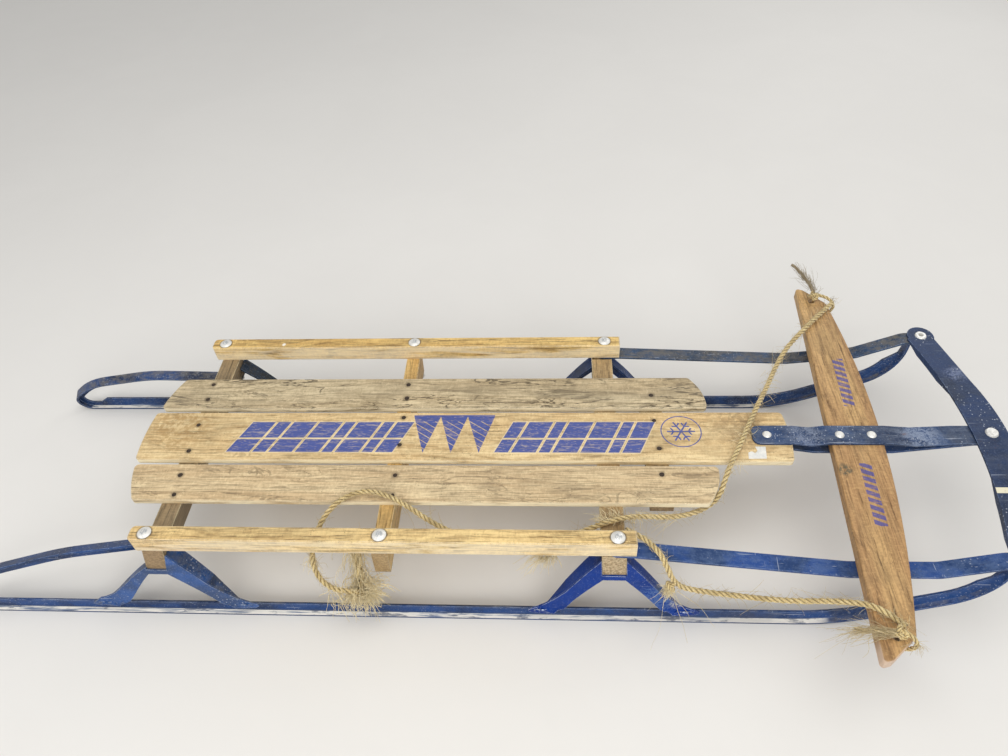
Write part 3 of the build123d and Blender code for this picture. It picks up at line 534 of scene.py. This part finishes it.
# The pale edge colour is chipped enamel and a painted highlight along the edges
STEELS = {
    "runner_left": blue_steel("runner_far", 5.0, "#1b3f74", "#142646", 0.7, "#7a766f", 0.3, 0.12, 0.0045),
    "runner_right": blue_steel("runner_near", 11.0, "#1b427c", "#132a50", 0.5, "#77777a", 0.35, 0.1, 0.0080),
    "knee_rear_left": blue_steel("knee_rear_far", 17.0, "#22354d", "#1a2733", 0.85, "#504837", 0.2, 0.2),
    "knee_rear_right": blue_steel("knee_rear_near", 23.0, "#2a5597", "#26426f", 0.6, "#75736a", 0.7, 0.2,
                                  wear_and_highlight="#b4bfd0"),
    "knee_front_left": blue_steel("knee_front_far", 29.0, "#103c7e", "#102a50", 0.4, "#62605c", 0.3, 0.06),
    "knee_front_right": blue_steel("knee_front_near", 35.0, "#01358a", "#032d78", 0.2, "#6f7f96", 0.35, 0.02,
                                   patches=[((0.2597, -0.1835, 0.036), 0.011, "#d9d1b4", 0.95),
                                            ((0.1290, -0.1740, 0.055), 0.004, "#e9e4da", 1.0),
                                            ((0.2400, -0.1800, 0.050), 0.040, "#5d7ba8", 0.6)],
                                   wear_and_highlight="#dbe5f4", gloss=0.12),
    "side_strap_left": blue_steel("strap_far", 41.0, "#2b4464", "#222f40", 0.85, "#6f6b64", 0.3, 0.2),
    "side_strap_right": blue_steel("strap_near", 47.0, "#24488a", "#1c3865", 0.42, "#63789c", 0.45, 0.05),
    "centre_strap_upper": blue_steel("strap_upper", 53.0, "#274470", "#20314f", 0.5, "#737c8c", 0.6, 0.12,
                                     patches=[((0.577, 0.0), 0.035, "#98a4ba", 0.6),
                                              ((0.435, 0.0), 0.03, "#8f9ab0", 0.5)]),
    "centre_strap_lower": blue_steel("strap_lower", 59.0, "#1a3d70", "#172b49", 0.4, "#6b7280", 0.3, 0.05),
    "bumper": blue_steel("bumper", 65.0, "#25395f", "#222e45", 0.42, "#565d6d", 0.75, 0.1, rough=0.44,
                         cream=(-0.0925, -0.0842), patches=[((0.656, 0.105), 0.02, "#7782a0", 0.7)]),
}
FASTENERS = sorted(name for name in nodes if name.startswith(("bolt", "deck_rivet", "bar_rivet", "bumper_r")))
ZINC = {name: bright_steel(f"zinc_{name}", 3.0 * count) for count, name in enumerate(FASTENERS)}
for name, material in {**WOODS, **STEELS, **ZINC}.items():
    nodes[name].data.materials.clear()
    nodes[name].data.materials.append(material)


# Meshes

def add_object(name, data):
    made = bpy.data.objects.new(name, data)
    bpy.context.scene.collection.objects.link(made)
    return made


def mesh_piece(name, verts, faces, material, body=None, smooth=True, ridge=None):
    mesh = bpy.data.meshes.new(name)
    mesh.from_pydata(verts, [], faces)
    if smooth:
        mesh.shade_smooth()
    if ridge:
        mesh.attributes.new("ridge", "FLOAT", "POINT").data.foreach_set("value", ridge)
    piece = add_object(name, mesh)
    mesh.materials.append(material)
    if body:
        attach(piece, body)
    return piece


def frames(line):
    """A steady pair of side directions at each point of a line."""
    aside, out = None, []
    for i, point in enumerate(line):
        ahead = (line[min(i + 1, len(line) - 1)] - line[max(i - 1, 0)]).normalized()
        if aside is None:
            aside = ahead.orthogonal().normalized()
        aside = (aside - ahead * aside.dot(ahead)).normalized()
        out.append((point, ahead, aside, ahead.cross(aside)))
    return out


def turned(aside, over, turn):
    return aside * math.cos(turn) + over * math.sin(turn)


def wall_faces(base, rings, sides):
    """Faces between rings of vertices that follow each other from base."""
    return [(a, b, b + sides, a + sides) for ring in range(rings) for a, b in
            ((base + ring * sides + k, base + ring * sides + (k + 1) % sides) for k in range(sides))]


def tubes(runs, sides):
    """Vertices, faces and ridges of tapered tubes; each run is a list of (point, radius), with the rope's
    middle and half width where the tube is a strand. The ridge is 1 on the rope's outside and less inside."""
    verts, faces, ridge = [], [], []
    for run in runs:
        base, last = len(verts), len(run) - 1
        for (point, radius, *rope), (_, _, aside, over) in zip(run, frames([spot[0] for spot in run])):
            for k in range(sides):
                verts.append(point + radius * turned(aside, over, 2 * math.pi * k / sides))
                ridge.append((verts[-1] - rope[0]).length / rope[1] if rope else 1.0)
        faces += wall_faces(base, last, sides)
        faces.append(tuple(base + k for k in reversed(range(sides))))
        faces.append(tuple(base + last * sides + k for k in range(sides)))
    return verts, faces, ridge


def spline_points(points, spacing):
    """Points along a smooth line whose control points are given, about that far apart."""
    curve = bpy.data.curves.new("line", "CURVE")
    curve.dimensions = "3D"
    spline = curve.splines.new("NURBS")
    spline.points.add(len(points) - 1)
    for knot, point in zip(spline.points, points):
        knot.co = (*point, 1)
    spline.order_u = 3
    spline.use_endpoint_u = True
    spline.resolution_u = 24
    holder = bpy.data.objects.new("line", curve)
    dense = [v.co.copy() for v in bpy.data.meshes.new_from_object(holder).vertices]
    bpy.data.objects.remove(holder)
    bpy.data.curves.remove(curve)
    even, left = [dense[0]], spacing
    for here, ahead in zip(dense, dense[1:]):
        step = (ahead - here).length
        while step >= left:
            here = here.lerp(ahead, left / step)
            step -= left
            even.append(here)
            left = spacing
        left -= step
    if (even[-1] - dense[-1]).length > spacing * 0.3:
        even.append(dense[-1])
    return even


ROPE_STRANDS = 3


def strands(line, diameter, pitch, seed):
    """Twisted strands laid round a line, slightly uneven, as tubes() wants them."""
    rng = random.Random(seed)
    strand = diameter / 2 / (1 + 2 / math.sqrt(3)) * 1.06      # three touching strands, pressed together
    around = diameter / 2 - strand
    step = (line[1] - line[0]).length
    runs = []
    for k in range(ROPE_STRANDS):
        run, swell = [], 1.0
        for i, (point, ahead, aside, over) in enumerate(frames(line)):
            turn = 2 * math.pi * (i * step / pitch + k / ROPE_STRANDS)
            swell += 0.25 * (rng.uniform(0.9, 1.08) - swell)
            run.append((point + turned(aside, over, turn) * around, strand * swell, point, diameter / 2))
        runs.append(run)
    return runs


FIBRE_STEPS, FIBRE_R = 8, (0.00018, 0.00036)
FIBRE_LOW, FIBRE_HIGH, FIBRE_FAR = 0.0012, 0.174, 0.324      # limits in z and y that keep the sled's size


def fibres(seed, bundles, thick, frizz):
    """Loose fibres; a bundle is (point, direction, count, length, spread, droop, spot size); millimetres."""
    rng = random.Random(seed)
    runs = []
    for start, way, count, length, spread, droop, size in bundles:
        way = Vector(way).normalized()
        for _ in range(count):
            ahead = (way + Vector([rng.gauss(0, 1) for _ in range(3)]) * spread).normalized()
            curl = Vector([rng.gauss(0, 1) for _ in range(3)])
            wave, turn = rng.uniform(0.5, 1.6), rng.uniform(0, 6.28)
            point = Vector(start) / 1000 + Vector([rng.gauss(0, size / 1000) for _ in range(3)])
            reach = length / 1000 * rng.uniform(0.35, 1.1)
            run, radius = [], rng.uniform(*FIBRE_R) * thick
            for i in range(FIBRE_STEPS):
                run.append((point.copy(), radius * (1 - 0.6 * i / FIBRE_STEPS)))
                ahead = ahead + curl * math.sin(i * wave + turn) * frizz + Vector((0, 0, -droop * 0.16))
                point = point + ahead.normalized() * reach / FIBRE_STEPS
                point.z = min(max(point.z, FIBRE_LOW), FIBRE_HIGH)
                point.y = min(point.y, FIBRE_FAR)
            runs.append(run)
    return runs


KNOT_STEPS, KNOT_TWIST = 48, 0.016


def overhand(centre, across, size, thick, seed):
    """Twisted strands of a small pulled knot: a trefoil, in millimetres from its middle to a lobe's tip."""
    centre, across = Vector(centre) / 1000, Vector(across).normalized()
    side = across.orthogonal().normalized()
    over = across.cross(side)
    line = []
    for i in range(KNOT_STEPS + 1):
        turn = 2 * math.pi * i / KNOT_STEPS
        flat = (side * (math.sin(turn) + 2 * math.sin(2 * turn))
                + over * (math.cos(turn) - 2 * math.cos(2 * turn)))
        line.append(centre + flat * size / 3000 - across * math.sin(3 * turn) * thick * 0.0006)
    return strands(line, thick / 1000, KNOT_TWIST, seed)


HAIR_EVERY, HAIR_LENGTH, HAIR_R, HAIR_STEPS = 0.0015, (0.006, 0.022), (0.00018, 0.00032), 5
LONG_HAIRS, LONG_HAIR = 0.06, 2.2      # share of the hairs that are longer, and by how much


def hairs(line, seed):
    """Short fibres that stand off a rope along its length."""
    rng = random.Random(seed)
    runs = []
    spots = frames(line)
    for _ in range(int(len(line) * (line[1] - line[0]).length / HAIR_EVERY)):
        point, ahead, aside, over = spots[rng.randrange(1, len(spots) - 1)]
        out = turned(aside, over, rng.uniform(0, 2 * math.pi))
        way = (ahead * rng.choice((-1, 1)) + out * rng.uniform(0.3, 0.8)).normalized()
        length = rng.uniform(*HAIR_LENGTH) * (LONG_HAIR if rng.random() < LONG_HAIRS else 1)
        curl = Vector([rng.gauss(0, 0.35) for _ in range(3)])
        start = point + out * ROPE_D * 0.42
        run, radius = [], rng.uniform(*HAIR_R)
        for i in range(HAIR_STEPS):
            run.append((start.copy(), radius * (1 - 0.12 * i)))
            way = (way + curl * 0.4 + out * 0.05).normalized()
            start = start + way * length / HAIR_STEPS
        runs.append(run)
    return runs


# Runners cut across, and knees with curved legs

SHARP_DEG = 28


def cut_copy(name, node, cuts, bend=None):
    """A copy of a CAD node's mesh that stands for it, cut across X so that it can follow a curve."""
    mesh = nodes[node].data.copy()
    work = bmesh.new()
    work.from_mesh(mesh)
    bmesh.ops.remove_doubles(work, verts=work.verts, dist=1e-6)
    for x in cuts:
        bmesh.ops.bisect_plane(work, geom=work.verts[:] + work.edges[:] + work.faces[:], plane_co=(x, 0, 0),
                               plane_no=(1, 0, 0))
    if bend:
        for vert in work.verts:
            vert.co.z = bend(vert.co)
    work.to_mesh(mesh)
    work.free()
    piece = add_object(name, mesh)
    mesh.shade_smooth()
    mesh.set_sharp_from_angle(angle=math.radians(SHARP_DEG))
    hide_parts(node)
    return piece


HORN_CUTS = [0.30 + 0.02 * i for i in range(17)]      # where the horns are cut across

# Knee legs: they start to curve this far from the bunk's middle and end at the foot, and sag by this much
LEG_START, LEG_END, LEG_SAG, LEG_CUT = 0.028, 0.104, 0.0075, 0.004
LEG_CUTS = [way * (LEG_START + LEG_CUT * i) for way in (-1, 1) for i in range(20)]
FOOT_TOP, FOOT_SHARE = 0.024, 0.48                      # the feet below this height are pressed to this share
RIVET_Z, RIVET_R, RIVET_LIFT = 0.013, 0.0045, 0.0057    # the foot rivet's head, which is lifted whole
RIVET_PROUD = 0.0015                                    # what lies this near the outermost y is that head


def leg_height(co, middle, face):
    """New height of a knee's point, so that straight legs flow into low feet; face is the feet's outside."""
    if abs(co.y) > face and abs(co.z - RIVET_Z) < RIVET_R:
        return co.z + RIVET_LIFT
    along = min(max((abs(co.x - middle) - LEG_START) / (LEG_END - LEG_START), 0), 1)
    height = co.z - LEG_SAG * 27 / 4 * along * along * (1 - along)      # deepest two thirds along, by LEG_SAG
    return height if height > FOOT_TOP else FOOT_TOP - (FOOT_TOP - height) * FOOT_SHARE


for side in ("left", "right"):
    piece = cut_copy(f"bent_runner_{side}", f"runner_{side}", HORN_CUTS)
    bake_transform(piece)
    for place in ("rear", "front"):
        middle = middle_of(f"bolt_{place}_{side}")[0]
        face = max(abs(v.co.y) for v in nodes[f"knee_{place}_{side}"].data.vertices) - RIVET_PROUD
        cuts = [middle + cut for cut in LEG_CUTS]
        piece = cut_copy(f"curved_knee_{place}_{side}", f"knee_{place}_{side}", cuts,
                         lambda co, middle=middle, face=face: leg_height(co, middle, face))
        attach(piece, "sled")


# Rope

ROPE_TWIST, STRAND_SIDES, STRAND_STEP = 0.022, 10, 0.0022
TURN_D, TURN_TWIST, THIN_SIDES, THIN_STEP = 0.0052, 0.018, 6, 0.002
KNOT_SIDES, KNOT_SEED, FIBRE_SIDES = 8, 30, 3

STRAW = fibre_shader("sisal", "#eadaa8", "#bd9f60")
STRAW_PALE = fibre_shader("sisal_frayed", "#e6d6a8", "#b79d6b", 0.05)
STRAW_GREY = fibre_shader("sisal_old", "#b8a682", "#7d6b4a", 0.3)
# The loose fibres get a paler copy of the sisal: painted light, making up for light that would pass through
# thin fibres
STRAW_LIT = fibre_shader("sisal_loose_lit", "#fbf0cb", "#d8c08a")

# Routes in millimetres, from the knot on the bar to the other end
LONG_ROUTE = [
    (532, 259, 145), (505, 229, 149), (475, 197, 148), (445, 166, 140), (422, 128, 136), (403, 89, 139),
    (383, 51, 147), (363, 12, 149), (343, -28, 149), (325, -61, 146), (315, -86, 133), (302, -97, 125),
    (279, -108, 122), (250, -116, 126), (222, -120, 134), (200, -126, 142), (178, -132, 143),
    (155, -138, 136), (130, -144, 127), (96, -151, 124), (58, -154, 123), (20, -151, 124),
    (-14, -142, 128), (-44, -130, 136), (-68, -117, 145), (-94, -103, 149), (-126, -94, 149),
    (-153, -104, 147), (-172, -122, 140), (-183, -142, 128), (-187, -163, 118), (-183, -181, 104),
    (-172, -191, 87), (-152, -195, 76), (-128, -191, 70),
]
SHORT_ROUTE = [
    (476, -263, 149), (463, -249, 149), (448, -238, 146), (430, -230, 137), (408, -223, 125),
    (380, -218, 114), (349, -211, 105), (317, -204, 99), (284, -200, 99), (257, -199, 106),
    (246, -196, 118), (240, -190, 131), (233, -178, 141), (224, -165, 142), (211, -153, 142),
    (194, -144, 142),
]
# Node, route, seed, and where the rope stops riding on the sled and where it rides on the bar
ROPES = [
    ("rope_long", LONG_ROUTE, 1, (0.36, 0.0, 0.149), (0.50, 0.24, 0.149)),
    ("rope_short", SHORT_ROUTE, 2, (0.30, -0.20, 0.10), (0.462, -0.25, 0.149)),
]


def smooth_line(points, step):
    return spline_points([Vector(point) / 1000 for point in points], step)


def rope_piece(name, runs, sides, material, body=None):
    verts, faces, ridge = tubes(runs, sides)
    return mesh_piece(name, verts, faces, material, body, ridge=ridge)


for node, route, seed, begin, end in ROPES:
    line = smooth_line(route, STRAND_STEP)
    piece = rope_piece(f"{node}_twisted", strands(line, ROPE_D, ROPE_TWIST, seed), STRAND_SIDES, STRAW)
    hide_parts(node)
    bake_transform(piece)
    fuzz = rope_piece(f"{node}_hairs", hairs(line, seed + 10), FIBRE_SIDES, STRAW_PALE)
    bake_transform(fuzz)


# Each knot: where, which way it faces, size, rope, body, and the turn of rope round the bar that it holds
KNOTS = [
    ("far_knot", (506, 272, 149.5), (0.2, 0.1, 1), 6.2, 5.2, "steering",
     [(508, 274, 151), (518, 270, 150.5), (527, 265, 149.5), (533, 260, 145), (536, 259, 137),
      (532, 259, 128), (522, 263, 122.5), (511, 267, 122.5), (505, 268, 128)]),
    ("near_knot", (468, -270, 149), (0.1, -0.3, 1), 6.2, 5.2, "steering",
     [(470, -269, 151), (476, -273, 151), (481.5, -278, 148.5), (484, -280, 141), (483, -280, 133),
      (477, -276, 123.5), (469, -272, 122.5), (466, -270.7, 128)]),
    ("front_knot", (244, -199, 109), (0.5, -0.8, 0.4), 5.2, 5.0, "sled", None),
]
for seed, (name, place, facing, size, thick, body, turn) in enumerate(KNOTS, KNOT_SEED):
    runs = overhand(place, facing, size, thick, seed)
    if turn:
        runs += strands(smooth_line(turn, THIN_STEP), TURN_D, TURN_TWIST, seed + 9)
    rope_piece(name, runs, KNOT_SIDES, STRAW, body)

# Tails behind the knots and the loose end: piece, line, diameter, twist, seed, material, body
TAILS = [
    ("far_tail", [(507, 275, 152), (504, 290, 156), (497, 304, 161), (488, 315, 167), (480, 322, 171)],
     0.0048, 0.05, 41, STRAW_GREY, "steering"),
    ("near_tail", [(463, -272, 150), (450, -270, 149), (437, -267, 147), (424, -264, 144)],
     0.0044, 0.05, 42, STRAW_PALE, "steering"),
    ("loop_tail", [(-136, -148, 112), (-134, -160, 98), (-132, -172, 84), (-130, -184, 70)],
     0.0105, 0.06, 43, STRAW, "sled"),
]
for name, points, diameter, twist, seed, material, body in TAILS:
    runs = strands(smooth_line(points, THIN_STEP), diameter, twist, seed)
    rope_piece(name, runs, THIN_SIDES, material, body)

# Frayed rope: piece, seed, thickness, frizz, material, body, and the bundles as fibres() reads them
FRAYS = [
    ("far_tail_fibres", 51, 1.0, 0.16, STRAW_GREY, "steering", [
        ((508, 280, 152), (-0.25, 0.85, 0.35), 46, 46, 0.16, 0.1, 1.6),
        ((498, 300, 160), (-0.4, 0.75, 0.4), 40, 34, 0.22, 0.1, 1.8),
        ((507, 273, 151), (0.3, 0.1, 0.4), 22, 16, 0.8, 0.3, 2.5),
        ((531, 264, 147), (0.8, 0.1, 0.2), 12, 14, 0.5, 0.3, 1.5)]),
    ("near_tail_fibres", 52, 1.0, 0.16, STRAW_PALE, "steering", [
        ((462, -271, 150), (-1, 0.12, -0.12), 80, 52, 0.11, 0.2, 2.0),
        ((440, -268, 148), (-1, 0.1, -0.25), 50, 40, 0.22, 0.3, 1.8),
        ((428, -266, 146), (-1, 0.0, -0.35), 8, 62, 0.14, 0.5, 1.2),
        ((470, -268, 151), (0.1, 0.3, 0.5), 24, 17, 0.8, 0.5, 2.5),
        ((483, -280, 144), (0.6, -0.6, -0.3), 22, 18, 0.5, 0.7, 1.6)]),
    ("loop_tuft", 53, 1.6, 0.45, STRAW_LIT, "sled", [
        ((-136, -148, 112), (0.06, -0.62, -0.78), 140, 58, 0.12, 0.1, 4.5),
        ((-133, -172, 84), (0.05, -0.5, -0.8), 150, 40, 0.32, 0.2, 3.5),
        ((-131, -187, 68), (0.1, -0.4, -0.6), 230, 34, 0.75, 0.7, 5.0),
        ((-124, -189, 62), (0.8, -0.2, -0.3), 60, 34, 0.5, 0.5, 5.0),
        ((-142, -190, 64), (-0.7, -0.3, -0.5), 60, 30, 0.5, 0.7, 5.0),
        ((-130, -190, 56), (0.1, -0.3, -1.0), 34, 52, 0.35, 0.9, 8.0),
        ((-186, -170, 112), (-0.3, -0.3, -0.8), 26, 30, 0.5, 0.5, 3.0),
        ((-150, -193, 78), (0.2, -0.5, -0.8), 60, 24, 0.7, 0.6, 9.0),
        ((-118, -184, 76), (0.6, -0.2, -0.1), 120, 28, 0.8, 0.3, 6.0)]),
    ("front_tuft", 54, 1.2, 0.25, STRAW_LIT, "sled", [
        ((243, -200, 108), (-0.25, -0.4, -0.9), 130, 17, 0.36, 0.4, 2.6),
        ((244, -199, 110), (-0.6, -0.2, -0.3), 26, 16, 0.6, 0.4, 2.2),
        ((240, -202, 104), (-0.75, -0.35, -0.6), 4, 95, 0.22, 0.5, 2.0),
        ((247, -200, 106), (0.6, -0.5, -0.8), 3, 70, 0.25, 0.5, 2.0)]),
    ("bunk_fuzz", 55, 1.2, 0.25, STRAW_LIT, "sled", [
        ((182, -127, 144), (-0.4, 0.8, 0.2), 34, 22, 0.55, 0.3, 4.5),
        ((168, -133, 143), (-0.8, 0.5, 0.1), 30, 22, 0.6, 0.4, 4.0),
        ((205, -124, 142), (0.5, -0.5, -0.1), 26, 26, 0.55, 0.6, 5.0),
        ((250, -116, 128), (-0.6, -0.5, -0.3), 10, 36, 0.35, 0.8, 4.0),
        ((352, -12, 149), (-0.7, 0.2, 0.2), 16, 20, 0.6, 0.5, 5.0),
        ((335, -45, 149), (0.3, -0.8, -0.2), 14, 24, 0.5, 0.8, 4.0),
        ((404, 92, 140), (0.7, 0.2, -0.1), 14, 26, 0.6, 0.5, 7.0),
        ((104, -160, 119), (-0.15, -0.85, -0.35), 110, 22, 0.32, 0.4, 5.0),
        ((98, -162, 119), (-0.8, -0.5, -0.25), 46, 42, 0.3, 0.5, 5.0)]),
]
for name, seed, thick, frizz, material, body, bundles in FRAYS:
    rope_piece(name, fibres(seed, bundles, thick, frizz), FIBRE_SIDES, material, body)


# Nails, paper scrap and the strap's end

def outline_plate(name, outline, low, high, material, body):
    """A thin plate from its outline, in millimetres; low and high are its underside and top above the deck,
    and high may be a list with the top at each corner."""
    count = len(outline)
    highs = high if isinstance(high, list) else [high] * count
    top = [(x / 1000, y / 1000, DECK_TOP + rise / 1000) for (x, y), rise in zip(outline, highs)]
    under = [(x / 1000, y / 1000, DECK_TOP + low / 1000) for x, y in outline]
    faces = [tuple(range(count)), tuple(reversed(range(count, 2 * count)))]
    faces += [(i + count, (i + 1) % count + count, (i + 1) % count, i) for i in range(count)]
    return mesh_piece(name, top + under, faces, material, body, smooth=False)


# The nails' dished heads: radius and height above the slat of each ring of vertices, and height of the middle
NAIL_RINGS = ((0.0031, 0.00002), (0.0028, 0.00022), (0.0022, 0.00030), (0.0013, 0.00014))
NAIL_MIDDLE, NAIL_SIDES, NAIL_SEED = 0.00010, 18, 8

rng = random.Random(NAIL_SEED)
verts, faces = [], []
for x, y in FAR_NAILS + MID_NAILS + NEAR_NAILS:
    base = len(verts)
    size = rng.uniform(0.92, 1.1)
    for radius, rise in NAIL_RINGS:
        for k in range(NAIL_SIDES):
            turn = 2 * math.pi * k / NAIL_SIDES
            reach = radius * size * rng.uniform(0.95, 1.05)
            verts.append((x + reach * math.cos(turn), y + reach * math.sin(turn), DECK_TOP + rise))
    verts.append((x, y, DECK_TOP + NAIL_MIDDLE))
    faces += wall_faces(base, len(NAIL_RINGS) - 1, NAIL_SIDES)
    inner, middle = base + (len(NAIL_RINGS) - 1) * NAIL_SIDES, len(verts) - 1
    faces += [(inner + k, inner + (k + 1) % NAIL_SIDES, middle) for k in range(NAIL_SIDES)]
mesh_piece("slat_nails", verts, faces, plain_rough("nail_rust", "#4a3a2b", "#1d150f", 500.0, 0.7), "sled")

# The paper scrap and the strap's rounded end, which lie on the deck
SCRAP = [(367.5, -17.6), (380.4, -18.0), (378.6, -37.0), (356.0, -37.5), (357.2, -27.4), (361.8, -25.2),
         (365.8, -28.2), (369.2, -24.4)]
SCRAP_TOPS = [0.3, 0.8, 0.4, 0.6, 0.25, 0.3, 0.2, 0.25]
PAPER = plain_rough("paper", "#f0eee6", "#d9dad6", 160.0, 0.8)
outline_plate("paper_scrap", SCRAP, 0.05, SCRAP_TOPS, PAPER, "sled")

STRAP_END = [(414, -15.4), (414, 15.4), (376, 15.0), (371, 14.0), (367.6, 11.2), (366, 7.0), (366, -7.0),
             (367.6, -11.2), (371, -14.0), (376, -15.0)]
pad = outline_plate("strap_end", STRAP_END, 0.1, 3.65, STEELS["centre_strap_upper"], "steering")
bevel = pad.modifiers.new("bevel", "BEVEL")
bevel.width, bevel.segments = 0.0005, 2


# Stage, light and camera

FLOOR_HALF, WORLD_LIGHT = 12, 0.52
# Soft lamps of a studio: name, place, size, watts, colour
LAMPS = [
    ("ceiling_lamp", (0.1, -0.3, 2.2), (2.2, 1.2), 16, (1.0, 0.985, 0.96)),
    ("front_lamp", (0.3, -2.1, 1.5), (2.2, 1.0), 26, (1.0, 0.99, 0.97)),
    ("side_lamp", (-1.8, -1.2, 1.5), (1.2, 0.8), 6, (0.97, 0.98, 1.0)),
    ("back_lamp", (1.4, 1.9, 1.4), (1.2, 0.8), 7, (1.0, 1.0, 1.0)),
]
LAMPS_AIM = (0, 0, 0.1)
# Camera at the photo's viewing angle, fitted to its bolts and runners: lens in mm, place, turn in degrees
CAMERA_LENS, CAMERA_PLACE, CAMERA_TURN = 27.04, (0.11106, -0.64307, 0.91744), (44.083, 2.918, 2.517)

corners = [(FLOOR_HALF * x, FLOOR_HALF * y, 0) for x, y in ((-1, -1), (1, -1), (1, 1), (-1, 1))]
pale = plain_rough("floor_pale", "#e9e7e3", "#e7e5e1", 3.0, 0.85)
floor = mesh_piece("floor", corners, [(0, 1, 2, 3)], pale)
for name, place, size, watts, colour in LAMPS:
    lamp = bpy.data.lights.new(name, "AREA")
    lamp.shape, lamp.size, lamp.size_y = "RECTANGLE", *size
    lamp.energy, lamp.color = watts, colour
    holder = add_object(name, lamp)
    holder.location = place
    holder.rotation_euler = (Vector(LAMPS_AIM) - Vector(place)).to_track_quat("-Z", "Y").to_euler()
world = bpy.data.worlds.new("studio")
world.use_nodes = True
world.node_tree.nodes["Background"].inputs[0].default_value = (1, 1, 1, 1)
world.node_tree.nodes["Background"].inputs[1].default_value = WORLD_LIGHT
bpy.context.scene.world = world

camera = bpy.data.cameras.new("camera")
camera.sensor_width = 36.0
camera.lens = CAMERA_LENS
camera.clip_end = 50
holder = add_object("camera", camera)
holder.location = CAMERA_PLACE
holder.rotation_euler = Euler([math.radians(angle) for angle in CAMERA_TURN], "XYZ")
bpy.context.scene.camera = holder
bpy.context.scene.view_settings.view_transform = "Standard"
